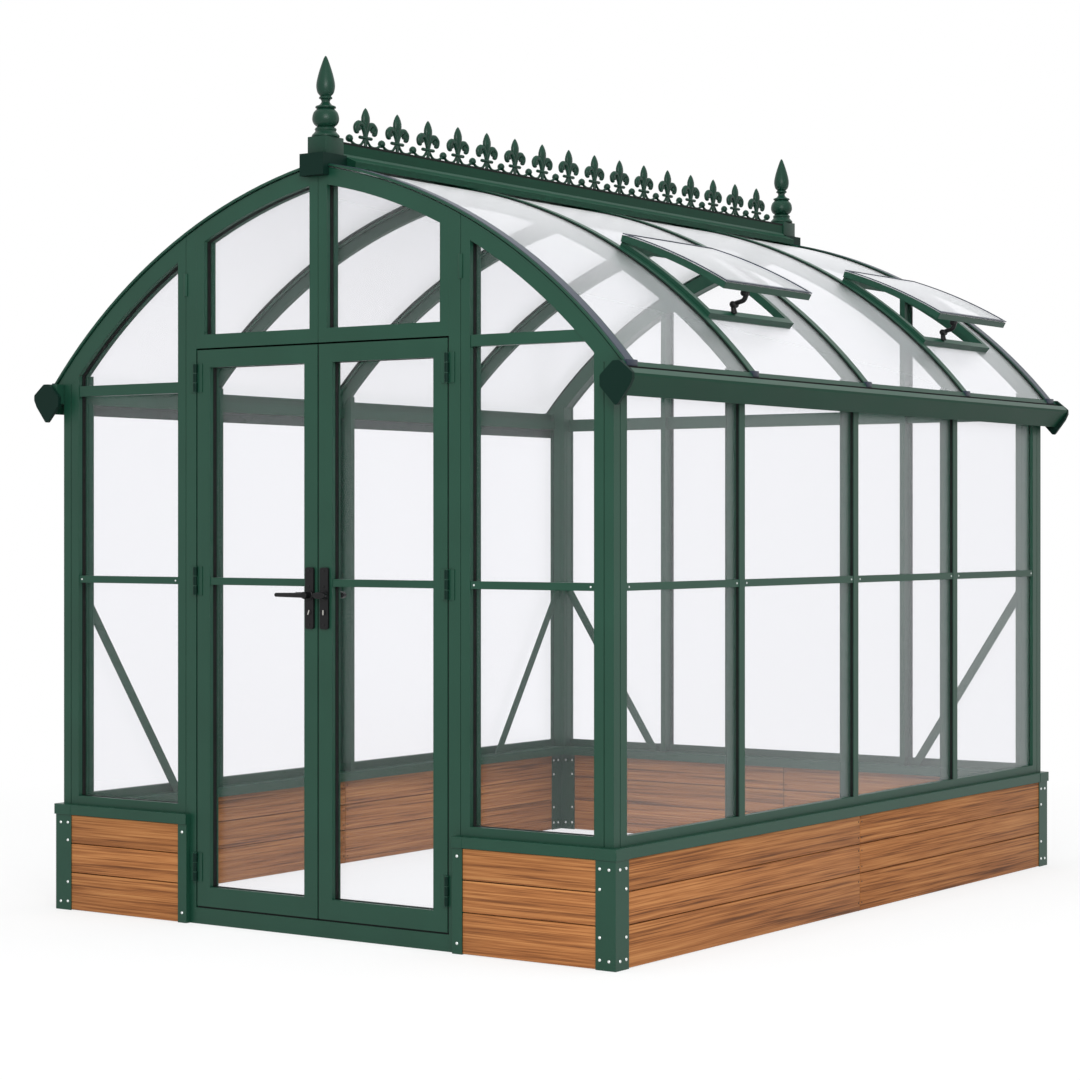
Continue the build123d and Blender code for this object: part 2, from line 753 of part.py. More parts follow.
curl_arc = ThreePointArc(crest_point(0.06, 0.26), crest_point(0.19, 0.49), crest_point(0.44, 0.55))
scroll_arc = ThreePointArc(crest_point(0.08, 0.24), crest_point(0.5, 0.045), crest_point(0.95, 0.17))
with BuildSketch() as fleur:
    with BuildLine():
        flank = ThreePointArc(crest_point(0.08, 0.36), crest_point(0.18, 0.55), crest_point(0.23, 0.71))
        point = ThreePointArc(flank @ 1, crest_point(0.16, 0.87), crest_point(0, 1))
        mirror(flank, about=Plane.YZ)
        mirror(point, about=Plane.YZ)
        Line(flank @ 0, crest_point(-0.08, 0.36))
    make_face()
    SlotArc(curl_arc, curl_width)
    SlotArc(scroll_arc, scroll_width)
    with Locations(crest_point(0.46, 0.47)):
        Circle(curl_radius)
    mirror(about=Plane.YZ)
    with Locations(crest_point(0, 0.25)):
        SlotOverall(collar_width, collar_height)
    with Locations(crest_point(0, 0.2)):
        Rectangle(stem_width, 2 * crest_point(0, 0.2)[1])

with BuildPart() as cresting:
    with BuildSketch(Plane((-crest_thick / 2, 0, ridge_top), x_dir=(0, 1, 0), z_dir=(1, 0, 0))):
        with GridLocations(crest_pitch, 0, crest_count, 1):
            add(fleur.sketch)
        knob_height = crest_point(0, 0.175)[1]
        with Locations((0, knob_height)):
            with GridLocations(crest_pitch, 0, crest_count + 1, 1):
                Circle(crest_knob_radius)
    extrude(amount=crest_thick)
cresting.part.label = "ridge_cresting"
export_step(cresting.part, "parts/ridge_cresting.step")

# Threshold across the doorway, between the door posts
with BuildPart() as threshold:
    bar((-jamb_in, jamb_in), (front_face, front_face + threshold_depth), (0, threshold_height))
threshold.part.label = "door_threshold"
export_step(threshold.part, "parts/door_threshold.step")

# Glass of the long walls: one pane to a bay, held by the bars and rails
pane_grip = slot_depth - fit


def pane_span(span, end):
    """Width of a pane in a bay: into the slot of an end post, or just short of a web."""
    low = span[0] - pane_grip if span[0] == -end else span[0] + fit
    high = span[1] + pane_grip if span[1] == end else span[1] - fit
    return low, high


with BuildPart() as side_panes:
    pane_heights = (sill_top + bottom_rail - pane_grip, head_bottom + pane_grip)
    for wall in side_walls:
        for span in side_webs:
            wall_bar(wall, pane_span(span, corner_y), (glass_inset, glass_inset + glass), pane_heights)
side_panes.part.label = "side_wall_panes"
export_step(side_panes.part, "parts/side_wall_panes.step")

# Glass of the gables: arched panes beside and over the doors, and three across the back
with BuildPart() as front_panes:
    for side in gable_ends:
        span = (side * (stile_out - pane_grip), side * (corner_x + pane_grip))
        arch_prism(arch_inner_inset - pane_grip, sill_top + bottom_rail - pane_grip, span, glass_front)
        span = (side * (fan_sight[0] - pane_grip), side * (fan_sight[1] + pane_grip))
        arch_prism(arch_inner_inset - pane_grip, fan_bottom + door_head_rail - pane_grip, span, glass_front)
front_panes.part.label = "front_gable_panes"
export_step(front_panes.part, "parts/front_gable_panes.step")

with BuildPart() as back_panes:
    glass_back = (frame_y - glass_inset - glass, frame_y - glass_inset)
    for span in back_webs:
        arch_prism(arch_inner_inset - pane_grip, sill_top + bottom_rail - pane_grip,
                   pane_span(span, corner_x), glass_back)
back_panes.part.label = "back_gable_panes"
export_step(back_panes.part, "parts/back_gable_panes.step")

# Roof glass: one curved sheet to a bay and slope, split above, below and beside a vent
glass_insets = (cap_thick + fit, cap_thick + fit + glass)
glass_radius = roof_radius - glass_insets[1]
eave_angle = degrees(acos((eave_seat + fit - arch_centre) / glass_radius))
ridge_angle = degrees(asin((arch_shift + ridge_gap) / glass_radius))
glass_lines = [-frame_y] + bar_places + [frame_y]
half_joint = web_width / 2
bay_spans = [(low + half_joint, high - half_joint) for low, high in zip(glass_lines, glass_lines[1:])]
cap_clear_spans = clear_spans(gable_cap - gable_cap_width - fit, bar_places, cap_width / 2 + fit)
curb_spans = {bay: (cap_clear_spans[bay][0], cap_clear_spans[bay][0] + vent_width) for bay in vent_bays}
with BuildPart() as roof_panes:
    for bay, span in enumerate(bay_spans):
        roof_band(-1, glass_insets, (ridge_angle, eave_angle), span)
        if bay in vent_bays:
            edge = degrees(fit / roof_radius)
            roof_band(1, glass_insets, (ridge_angle, vent_top_angle - edge), span)
            roof_band(1, glass_insets, (vent_low_angle + edge, eave_angle), span)
            roof_band(1, glass_insets, (vent_top_angle, vent_low_angle), (curb_spans[bay][1] + fit, span[1]))
        else:
            roof_band(1, glass_insets, (ridge_angle, eave_angle), span)
roof_panes.part.label = "roof_panes"
export_step(roof_panes.part, "parts/roof_panes.step")

# Vent curbs: curved frames in the place of the glass, with an upstand round each opening
bar_turn = degrees(curb_bar / roof_radius)
with BuildPart() as vent_curbs:
    for bay in vent_bays:
        upstand = curb_spans[bay]
        opening = (upstand[0] + curb_bar, upstand[1] - curb_bar)
        angles = (vent_top_angle, vent_low_angle)
        inner_angles = (vent_top_angle + bar_turn, vent_low_angle - bar_turn)
        roof_band(1, glass_insets, angles, (bay_spans[bay][0], upstand[1]))
        roof_band(1, (-curb_rise, glass_insets[0]), angles, upstand)
        roof_band(1, (-curb_rise - overrun, glass_insets[1] + overrun), inner_angles, opening, Mode.SUBTRACT)
vent_curbs.part.label = "vent_curbs"
export_step(vent_curbs.part, "parts/vent_curbs.step")

# Vent sashes: curved glazed frames hinged along their top edge and propped open
hinge_radius_out = roof_radius + curb_rise
hinge_point = (
    hinge_radius_out * sin(radians(vent_top_angle)) - arch_shift,
    hinge_radius_out * cos(radians(vent_top_angle)) + arch_centre,
)
sash_fall = vent_top_angle - vent_open_angle


def sash_band(radii, angles, y_span, mode=Mode.ADD):
    """Curved sheet of a raised sash, about the hinge point, between two angles from its top edge."""
    plane = Plane(
        (hinge_point[0], y_span[0], hinge_point[1]),
        x_dir=(cos(radians(sash_fall)), 0, -sin(radians(sash_fall))),
        z_dir=(0, -1, 0),
    )
    centre = (0, -hinge_radius_out)
    turn = angles[0] - angles[1]
    with BuildSketch(plane) as section:
        with BuildLine():
            low = CenterArc(centre, radii[0], 90 - angles[0], turn)
            high = CenterArc(centre, radii[1], 90 - angles[0], turn)
            Line(low @ 0, high @ 0)
            Line(low @ 1, high @ 1)
        make_face()
    extrude(section.sketch, amount=y_span[0] - y_span[1], mode=mode)


sash_low = hinge_radius_out + fit
sash_high = sash_low + sash_thick
sash_middle = (sash_low + sash_high - glass) / 2
sash_turn = vent_low_angle - vent_top_angle + degrees(sash_lap / roof_radius)
sash_bar_turn = degrees(sash_bar / roof_radius)
slot_turn = degrees(slot_depth / roof_radius)
grip_turn = degrees(pane_grip / roof_radius)
vent_spans = [(curb_spans[bay][0] - sash_lap, curb_spans[bay][1] + sash_lap) for bay in vent_bays]
with BuildPart() as vent_sashes:
    for low, high in vent_spans:
        sight = (sash_bar_turn, sash_turn - sash_bar_turn)
        slot = (sight[0] - slot_turn, sight[1] + slot_turn)
        sash_band((sash_low, sash_high), (0, sash_turn), (low, high))
        sash_band((sash_low - overrun, sash_high + overrun), sight, (low + sash_bar, high - sash_bar),
                  Mode.SUBTRACT)
        sash_band((sash_middle - fit, sash_middle + glass + fit), slot,
                  (low + sash_bar - slot_depth, high - sash_bar + slot_depth), Mode.SUBTRACT)
vent_sashes.part.label = "vent_sashes"
export_step(vent_sashes.part, "parts/vent_sashes.step")

with BuildPart() as vent_panes:
    for low, high in vent_spans:
        edge = sash_bar - pane_grip
        pane_turns = (sash_bar_turn - grip_turn, sash_turn - sash_bar_turn + grip_turn)
        sash_band((sash_middle, sash_middle + glass), pane_turns, (low + edge, high - edge))
vent_panes.part.label = "vent_panes"
export_step(vent_panes.part, "parts/vent_panes.step")

# Vent stays: bars that prop the sashes up from the lower bar of the curb
def arc_points(centre, radius, angle):
    """Two points a stay's thickness apart on an arc, about an angle from the upright."""
    half = degrees(stay_thick / 2 / radius)
    turns = [radians(angle - half), radians(angle + half)]
    return [(centre[0] + radius * sin(turn), centre[1] + radius * cos(turn)) for turn in turns]


sash_centre = (
    hinge_point[0] - hinge_radius_out * sin(radians(sash_fall)),
    hinge_point[1] - hinge_radius_out * cos(radians(sash_fall)),
)
stay_feet = arc_points((-arch_shift, arch_centre), hinge_radius_out + fit, vent_low_angle - bar_turn / 2)
stay_heads = arc_points(sash_centre, hinge_radius_out, sash_fall + sash_turn - bar_turn / 2)
with BuildPart() as vent_stays:
    for low, high in vent_spans:
        stay_place = low + stay_place_share * (high - low)
        with BuildSketch(gable_plane(stay_place - stay_width / 2)):
            with BuildLine():
                Polyline(*stay_feet, *reversed(stay_heads), close=True)
            make_face()
        extrude(amount=-stay_width)
vent_stays.part.label = "vent_stays"
export_step(vent_stays.part, "parts/vent_stays.step")

# Doors: glazed leaves with hinges on the outside, a lever on the left one and an oval turn knob on the right
leaf_in = leaf_gap / 2
leaf_out = jamb_in - leaf_gap
sight_x = (leaf_in + leaf_stile, leaf_out - leaf_stile)
sight_z = (leaf_bottom + leaf_bottom_rail, leaf_top - leaf_top_rail)
leaf_y = (front_face, front_face + leaf_depth)
spindle_x = leaf_in + leaf_stile / 2
hinge_x = jamb_in - leaf_gap / 2
hinge_y = front_face - hinge_offset
hinge_heights = [leaf_bottom + share * (leaf_top - leaf_bottom) for share in hinge_height_shares]
knuckle = hinge_length / 3
plate_inner = hinge_x + hinge_radius + hinge_knuckle_gap
hinge_plate_y = (front_face - hinge_plate, front_face)


def round_bar(plane, centre, radius, length, mode=Mode.ADD):
    """Round bar that starts on a plane."""
    with BuildSketch(plane) as section:
        with Locations(centre):
            Circle(radius)
    extrude(section.sketch, amount=length, mode=mode)


# Hinge halves on the door posts: a plate, two knuckles and the pin through the middle one
with BuildPart() as door_hinges:
    for side in gable_ends:
        for height in hinge_heights:
            low = height - hinge_length / 2
            centre = (side * hinge_x, hinge_y)
            bar((side * plate_inner, side * (plate_inner + hinge_plate_width)), hinge_plate_y,
                (low, low + hinge_length))
            for foot in (low, low + 2 * knuckle):
                bar((side * hinge_x, side * plate_inner), hinge_plate_y, (foot, foot + knuckle))
                round_bar(Plane.XY.offset(foot), centre, hinge_radius, knuckle)
            round_bar(Plane.XY.offset(low), centre, hinge_pin, hinge_length)
door_hinges.part.label = "door_post_hinges"
export_step(door_hinges.part, "parts/door_post_hinges.step")

for name, side in (("left", -1), ("right", 1)):
    with BuildPart() as leaf:
        bar((side * leaf_in, side * leaf_out), leaf_y, (leaf_bottom, leaf_top))
        bar((side * sight_x[0], side * sight_x[1]), (leaf_y[0] - overrun, leaf_y[1] + overrun), sight_z,
            Mode.SUBTRACT)
        bar((side * (sight_x[0] - slot_depth), side * (sight_x[1] + slot_depth)), slot_front,
            (sight_z[0] - slot_depth, sight_z[1] + slot_depth), Mode.SUBTRACT)
        bar((side * sight_x[0], side * sight_x[1]), (slot_front[0] - front_mid_rail_depth, slot_front[0]),
            mid_span)
        round_bar(gable_plane(leaf_y[1] + overrun), (side * spindle_x, handle_height),
                  spindle_radius + spindle_fit, leaf_depth + 2 * overrun, Mode.SUBTRACT)
    leaf.part.label = f"{name}_door_frame"
    export_step(leaf.part, f"parts/{name}_door_frame.step")

    with BuildPart() as leaf_pane:
        bar((side * (sight_x[0] - pane_grip), side * (sight_x[1] + pane_grip)), glass_front,
            (sight_z[0] - pane_grip, sight_z[1] + pane_grip))
    leaf_pane.part.label = f"{name}_door_pane"
    export_step(leaf_pane.part, f"parts/{name}_door_pane.step")

    with BuildPart() as leaf_hinges:
        for height in hinge_heights:
            low = height - hinge_length / 2
            foot = low + knuckle + hinge_knuckle_gap
            length = knuckle - 2 * hinge_knuckle_gap
            leaf_plate = 2 * hinge_x - plate_inner
            bar((side * (leaf_plate - hinge_plate_width), side * leaf_plate), hinge_plate_y,
                (low, low + hinge_length))
            bar((side * leaf_plate, side * hinge_x), hinge_plate_y, (foot, foot + length))
            pin_centre = (side * hinge_x, hinge_y)
            round_bar(Plane.XY.offset(foot), pin_centre, hinge_radius, length)
            round_bar(Plane.XY.offset(foot), pin_centre, hinge_pin + fit, length, Mode.SUBTRACT)
    leaf_hinges.part.label = f"{name}_door_hinges"
    export_step(leaf_hinges.part, f"parts/{name}_door_hinges.step")

    with BuildPart() as handle_plates:
        for start in (leaf_y[0], leaf_y[1] + plate_thick):
            with BuildSketch(gable_plane(start)):
                with Locations((side * spindle_x, handle_height - plate_drop)):
                    RectangleRounded(plate_width, plate_height, plate_round)
                with Locations((side * spindle_x, handle_height)):
                    Circle(spindle_radius + spindle_fit, mode=Mode.SUBTRACT)
            extrude(amount=plate_thick)
    handle_plates.part.label = f"{name}_handle_plates"
    export_step(handle_plates.part, f"parts/{name}_handle_plates.step")

    with BuildPart() as lever:
        outside = leaf_y[0] - plate_thick
        inside = leaf_y[1] + plate_thick
        hub_centre = (side * spindle_x, handle_height)
        spindle = inside - outside + 2 * spindle_fit
        round_bar(gable_plane(inside + spindle_fit), hub_centre, spindle_radius, spindle)
        round_bar(gable_plane(outside - spindle_fit), hub_centre, hub_radius, hub_reach)
        round_bar(gable_plane(inside + spindle_fit + hub_reach), hub_centre, hub_radius, hub_reach)
        reach = spindle_fit + hub_reach
        if name == "left":
            for y in (outside - reach + lever_radius, inside + reach - lever_radius):
                grip = Plane((side * spindle_x, y, handle_height), x_dir=(side, 0, 0), z_dir=(0, -side, 0))
                with BuildSketch(grip):
                    with BuildLine():
                        tip = lever_length - lever_tip_radius
                        Polyline((tip, lever_tip_radius), (0, lever_radius), (0, 0), (lever_length, 0))
                        RadiusArc((tip, lever_tip_radius), (lever_length, 0), lever_tip_radius)
                    make_face()
                revolve(axis=Axis(grip.origin, grip.x_dir))
        else:
            for y in (outside - reach + knob_thick, inside + reach):
                with BuildSketch(gable_plane(y)):
                    with Locations(hub_centre):
                        Ellipse(knob_width / 2, knob_height / 2)
                extrude(amount=knob_thick)
            rims = lever.edges().filter_by(GeomType.ELLIPSE).sort_by(Axis.Y)
            fillet([rims[0], rims[-1]], knob_round)
    lever.part.label = f"{name}_door_lever"
    export_step(lever.part, f"parts/{name}_door_lever.step")
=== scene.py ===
import math
import random

import bmesh
import bpy
from mathutils import Matrix, Vector
from mathutils.geometry import interpolate_bezier


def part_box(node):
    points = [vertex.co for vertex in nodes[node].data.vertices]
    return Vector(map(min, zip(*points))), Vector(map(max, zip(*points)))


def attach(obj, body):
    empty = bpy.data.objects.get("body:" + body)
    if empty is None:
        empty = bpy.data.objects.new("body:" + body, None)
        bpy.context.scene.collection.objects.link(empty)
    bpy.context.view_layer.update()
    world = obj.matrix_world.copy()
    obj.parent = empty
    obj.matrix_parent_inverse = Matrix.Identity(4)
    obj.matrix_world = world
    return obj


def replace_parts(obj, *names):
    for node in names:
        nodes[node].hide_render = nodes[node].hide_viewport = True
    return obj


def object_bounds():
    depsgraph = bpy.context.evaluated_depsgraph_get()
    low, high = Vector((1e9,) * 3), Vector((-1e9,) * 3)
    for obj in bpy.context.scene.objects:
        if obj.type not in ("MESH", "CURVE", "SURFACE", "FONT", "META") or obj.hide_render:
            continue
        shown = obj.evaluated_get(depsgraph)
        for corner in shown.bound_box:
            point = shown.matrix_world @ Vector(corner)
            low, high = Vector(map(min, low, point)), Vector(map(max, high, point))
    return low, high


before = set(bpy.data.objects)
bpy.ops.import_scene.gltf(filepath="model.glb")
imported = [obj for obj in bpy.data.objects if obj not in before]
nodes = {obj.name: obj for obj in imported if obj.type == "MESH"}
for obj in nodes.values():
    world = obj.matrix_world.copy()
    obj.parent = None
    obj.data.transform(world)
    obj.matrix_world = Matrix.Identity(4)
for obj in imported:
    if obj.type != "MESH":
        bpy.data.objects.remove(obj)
cad_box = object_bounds()


# Base panels: three long boards to a panel, laid flush with open seams and held at both ends by the angles.
# Brown wood-plastic composite, extruded and brushed: long dark and light streaks run along each board.
def linear(hex_code):
    """sRGB hex to the linear colour that the shader takes."""
    parts = [int(hex_code[place:place + 2], 16) / 255 for place in (1, 3, 5)]
    return [part / 12.92 if part <= 0.04045 else ((part + 0.055) / 1.055) ** 2.4 for part in parts] + [1]


def add_node(owner, kind, settings=None, links=None):
    """Adds a node, sets its properties and inputs, and links other nodes' outputs into it."""
    node = owner.node_tree.nodes.new(kind)
    for name, value in (settings or {}).items():
        if isinstance(name, str) and hasattr(node, name):
            setattr(node, name, value)
        else:
            node.inputs[name].default_value = value
    for name, output in (links or {}).items():
        owner.node_tree.links.new(output, node.inputs[name])
    return node


def new_material(name):
    """Material with an empty node tree."""
    material = bpy.data.materials.new(name)
    material.use_nodes = True
    material.node_tree.nodes.clear()
    return material


def per_metre(millimetres):
    """Texture scale that gives a pattern of one real size when it is read in metres."""
    return 1000 / millimetres


def board_material():
    """Streaked composite: grain is read along each board, and each board starts at another place in it."""
    # Length and width in millimetres, detail and warp of the broad figure, the streaks and the fine fibres.
    layer_sizes = ((900, 20, 3, 0.7), (480, 6, 3, 0.5), (170, 2.2, 2, 0))
    streak_share = 0.62
    fibre_share = 0.24
    tone_stops = ((0.385, "#603A20"), (0.455, "#8E5931"), (0.52, "#A86E3F"), (0.61, "#BC834F"))
    tone_spread = 0.06
    seed_stride = 40
    groove_height = 0.0005
    material = new_material("brushed brown composite boards")
    grain = add_node(material, "ShaderNodeUVMap", {"uv_map": "grain"}).outputs["UV"]
    seed = add_node(material, "ShaderNodeAttribute", {"attribute_name": "board_seed"}).outputs["Fac"]
    start = add_node(material, "ShaderNodeMath", {"operation": "MULTIPLY", 1: seed_stride}, {0: seed})
    layers = []
    for length, width, detail, warp in layer_sizes:
        lanes = add_node(material, "ShaderNodeMapping", {"Scale": (per_metre(length), per_metre(width), 1)},
                         {"Vector": grain})
        noise = add_node(material, "ShaderNodeTexNoise",
                         {"noise_dimensions": "4D", "Scale": 1, "Detail": detail, "Distortion": warp},
                         {"Vector": lanes.outputs["Vector"], "W": start.outputs["Value"]})
        layers.append(noise.outputs["Fac"])
    figure, streaks, fibres = layers
    broad = add_node(material, "ShaderNodeMix", {"data_type": "FLOAT", "Factor": streak_share},
                     {2: figure, 3: streaks})
    brushed = add_node(material, "ShaderNodeMix", {"data_type": "FLOAT", "Factor": fibre_share},
                       {2: broad.outputs[0], 3: fibres})
    tones = add_node(material, "ShaderNodeValToRGB", {}, {"Fac": brushed.outputs[0]})
    stops = tones.color_ramp.elements
    while len(stops) < len(tone_stops):
        stops.new(1)
    for stop, (position, tone) in zip(stops, tone_stops):
        stop.position = position
        stop.color = linear(tone)
    board_tone = add_node(material, "ShaderNodeMapRange",
                          {"To Min": 1 - tone_spread, "To Max": 1 + tone_spread}, {"Value": seed})
    toned = add_node(material, "ShaderNodeHueSaturation", {},
                     {"Color": tones.outputs["Color"], "Value": board_tone.outputs["Result"]})
    grooves = add_node(material, "ShaderNodeBump", {"Strength": 0.5, "Distance": groove_height},
                       {"Height": brushed.outputs[0]})
    surface = add_node(material, "ShaderNodeBsdfPrincipled", {"Roughness": 0.6, "Specular IOR Level": 0.2},
                       {"Base Color": toned.outputs["Color"], "Normal": grooves.outputs["Normal"]})
    add_node(material, "ShaderNodeOutputMaterial", {}, {"Surface": surface.outputs["BSDF"]})
    return material


def finished_piece(name, mesh, material, body, smooth_angle=40):
    """Turns a bmesh into a piece that rides on a body and takes one slot's finish."""
    bmesh.ops.recalc_face_normals(mesh, faces=mesh.faces)
    data = bpy.data.meshes.new(name)
    mesh.to_mesh(data)
    mesh.free()
    data.shade_smooth()
    data.set_sharp_from_angle(angle=math.radians(smooth_angle))
    data.materials.append(material)
    piece = bpy.data.objects.new(name, data)
    bpy.context.scene.collection.objects.link(piece)
    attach(piece, body)
    return piece


def solid_spans(node):
    """Lowest and highest corners of each separate solid of a node."""
    mesh = bmesh.new()
    mesh.from_mesh(nodes[node].data)
    join_distance = 1e-6
    bmesh.ops.remove_doubles(mesh, verts=mesh.verts, dist=join_distance)
    left = set(mesh.verts)
    spans = []
    while left:
        first = left.pop()
        group = {first}
        front = [first]
        while front:
            vert = front.pop()
            for edge in vert.link_edges:
                other = edge.other_vert(vert)
                if other not in group:
                    group.add(other)
                    front.append(other)
        left -= group
        places = [vert.co for vert in group]
        spans.append((Vector([min(place[axis] for place in places) for axis in range(3)]),
                      Vector([max(place[axis] for place in places) for axis in range(3)])))
    mesh.free()
    return sorted(spans, key=lambda span: tuple(span[0]))


def add_block(mesh, spans, easing, segments=1):
    """Block with eased edges over a span along each axis, its ends in either order; returns its faces."""
    low = Vector([min(span) for span in spans])
    high = Vector([max(span) for span in spans])
    before = set(mesh.faces)
    place = Matrix.Translation((low + high) / 2) @ Matrix.Diagonal((high - low).to_4d())
    made = bmesh.ops.create_cube(mesh, size=1, matrix=place)
    edges = list({edge for vert in made["verts"] for edge in vert.link_edges})
    bmesh.ops.bevel(mesh, geom=edges, offset=easing, segments=segments, affect="EDGES", profile=0.5)
    return [face for face in mesh.faces if face not in before]


boards = board_material()
board_shares = (0.395, 0.305, 0.3)
seam = 0.003
board_easing = 0.0025
lying_flat = 0.7
board_runs = (("base_left_panels", 1), ("base_right_panels", 1),
              ("base_front_panels", 0), ("base_back_panels", 0))
jointed_runs = [run for run in board_runs if run[0] != "base_front_panels"]


def board_panels(node, along):
    """Boards in the place of one side's base panels, with the grain laid along one axis."""
    draw = random.Random(node)
    mesh = bmesh.new()
    grain = mesh.loops.layers.uv.new("grain")
    seeds = mesh.verts.layers.float.new("board_seed")
    for low, high in solid_spans(node):
        bottom = low.z
        for share in board_shares:
            top = bottom + share * (high.z - low.z)
            spans = [(low.x, high.x), (low.y, high.y), (bottom + seam / 2, top - seam / 2)]
            if abs(low[along]) < seam:
                spans[along] = (seam / 2, high[along])
            if abs(high[along]) < seam:
                spans[along] = (low[along], -seam / 2)
            seed = draw.random()
            for face in add_block(mesh, spans, board_easing, segments=2):
                face.normal_update()
                for loop in face.loops:
                    spot = loop.vert.co
                    loop.vert[seeds] = seed
                    across = spot[1 - along] if abs(face.normal.z) > lying_flat else spot.z
                    loop[grain].uv = (spot[along], across)
            bottom = top
    piece = finished_piece(node.replace("panels", "boards"), mesh, boards, "greenhouse")
    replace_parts(piece, node)


for node, along in board_runs:
    board_panels(node, along)


# Frame bars, sills, angles and doors: extruded or folded aluminium with a dark green polyester powder coat.
# It gives the eye a satin grey-green with a fine orange peel and softly rounded edges. The peel is drawn
# coarser than a real one, or it would not show.
def coated_metal(name, shade, light, roughness, sheen):
    """Coated metal, or plastic with a like skin: a fine orange peel, and slow drifts of tone and gloss."""
    drift_size = 260
    peel_size = 2.2
    peel_height = 0.00003
    edge_round = 0.0016
    gloss_spread = 0.05
    material = new_material(name)
    place = add_node(material, "ShaderNodeTexCoord").outputs["Object"]
    drift = add_node(material, "ShaderNodeTexNoise", {"Scale": per_metre(drift_size), "Detail": 3},
                     {"Vector": place})
    colour = add_node(material, "ShaderNodeMix", {"data_type": "RGBA", 6: linear(shade), 7: linear(light)},
                      {"Factor": drift.outputs["Fac"]})
    peel = add_node(material, "ShaderNodeTexNoise", {"Scale": per_metre(peel_size), "Detail": 1},
                    {"Vector": place})
    rounded = add_node(material, "ShaderNodeBevel", {"samples": 3, "Radius": edge_round})
    skin = add_node(material, "ShaderNodeBump", {"Strength": 0.35, "Distance": peel_height},
                    {"Height": peel.outputs["Fac"], "Normal": rounded.outputs["Normal"]})
    gloss = add_node(material, "ShaderNodeMapRange",
                     {"To Min": roughness - gloss_spread, "To Max": roughness + gloss_spread},
                     {"Value": drift.outputs["Fac"]})
    coat = add_node(material, "ShaderNodeBsdfPrincipled", {"Specular IOR Level": sheen},
                    {"Base Color": colour.outputs[2], "Roughness": gloss.outputs["Result"],
                     "Normal": skin.outputs["Normal"]})
    add_node(material, "ShaderNodeOutputMaterial", {}, {"Surface": coat.outputs["BSDF"]})
    return material


def finish_nodes(names, material):
    """Gives carried-over nodes their finish."""
    for name in names:
        nodes[name].data.materials.clear()
        nodes[name].data.materials.append(material)


green_coat = coated_metal("green powder-coated aluminium", "#123A2B", "#1B4636", roughness=0.38, sheen=0.3)
green_bars = (
    "base_angles", "side_sills", "gable_sills", "corner_posts", "side_wall_bars", "back_wall_bars",
    "wall_rails", "wall_braces", "gable_ties", "door_posts", "side_panel_frames", "fanlight_frames",
    "door_threshold", "back_arch", "eave_beams", "roof_cap_strips", "ridge_purlins", "vent_curbs",
    "left_door_frame", "right_door_frame", "door_post_hinges", "left_door_hinges", "right_door_hinges",
)
finish_nodes(green_bars, green_coat)


# Inner covers: strips clipped over the webs of the wall bars, and lips inside corner posts and eave beams.
# Extruded aluminium in the same green coat; they give the bars their fine lines along the inside.
cover_half = 0.012
cover_thick = 0.004
cover_easing = 0.001
lip_thick = 0.002
lip_easing = lip_thick / 4
post_lips = ((0, 0.007), (0.02, 0.026))
beam_lip_thick = 0.003
beam_lip_half = 0.003
beam_lip_shares = (0.1, 0.46, 0.9)
wall_bars = (("side_wall_bars", 0), ("back_wall_bars", 1))
eave_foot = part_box("eave_beams")[0].z
post_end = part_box("corner_posts")[1].y


def inner_edge(low, high, axis):
    """Side of a solid that is nearer the middle of the building along an axis, and the way outward."""
    outward = math.copysign(1, low[axis] + high[axis])
    return outward * min(abs(low[axis]), abs(high[axis])), outward


mesh = bmesh.new()
for node, across in wall_bars:
    for low, high in solid_spans(node):
        inside, outward = inner_edge(low, high, across)
        spans = [(middle - cover_half, middle + cover_half) for middle in (low + high) / 2]
        spans[across] = (inside, inside - outward * cover_thick)
        spans[2] = (low.z, high.z - cover_thick)
        add_block(mesh, spans, cover_easing)
for low, high in solid_spans("corner_posts"):
    for lip in post_lips:
        for across in (1, 0):
            spans = []
            for axis in (0, 1):
                inside, outward = inner_edge(low, high, axis)
                reaches = (-lip_thick, 0) if axis == across else lip
                spans.append([inside + outward * reach for reach in reaches])
            add_block(mesh, (*spans, (low.z, eave_foot)), lip_easing)
for low, high in solid_spans("eave_beams"):
    inside, outward = inner_edge(low, high, 0)
    for share in beam_lip_shares:
        level = low.z + share * (high.z - low.z)
        add_block(mesh, ((inside, inside - outward * beam_lip_thick), (-post_end, post_end),
                         (level - beam_lip_half, level + beam_lip_half)), lip_easing)
finished_piece("inner_covers", mesh, green_coat, "greenhouse")


# Board tongues: flat strips let into the butt joints of the base, half way along the long sides and the back.
# Aluminium sheet in the green coat, a little back from both faces: a fine dark line down each joint.
tongue_fill = 0.97
tongue_thick = tongue_fill * seam
tongue_easing = tongue_thick / 20
tongue_back = 0.004
mesh = bmesh.new()
for node, along in jointed_runs:
    low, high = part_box(node)
    spans = [(low[axis] + tongue_back, high[axis] - tongue_back) for axis in (0, 1)]
    spans[along] = (-tongue_thick / 2, tongue_thick / 2)
    add_block(mesh, (*spans, (low.z, high.z)), tongue_easing)
finished_piece("board_tongues", mesh, green_coat, "greenhouse")


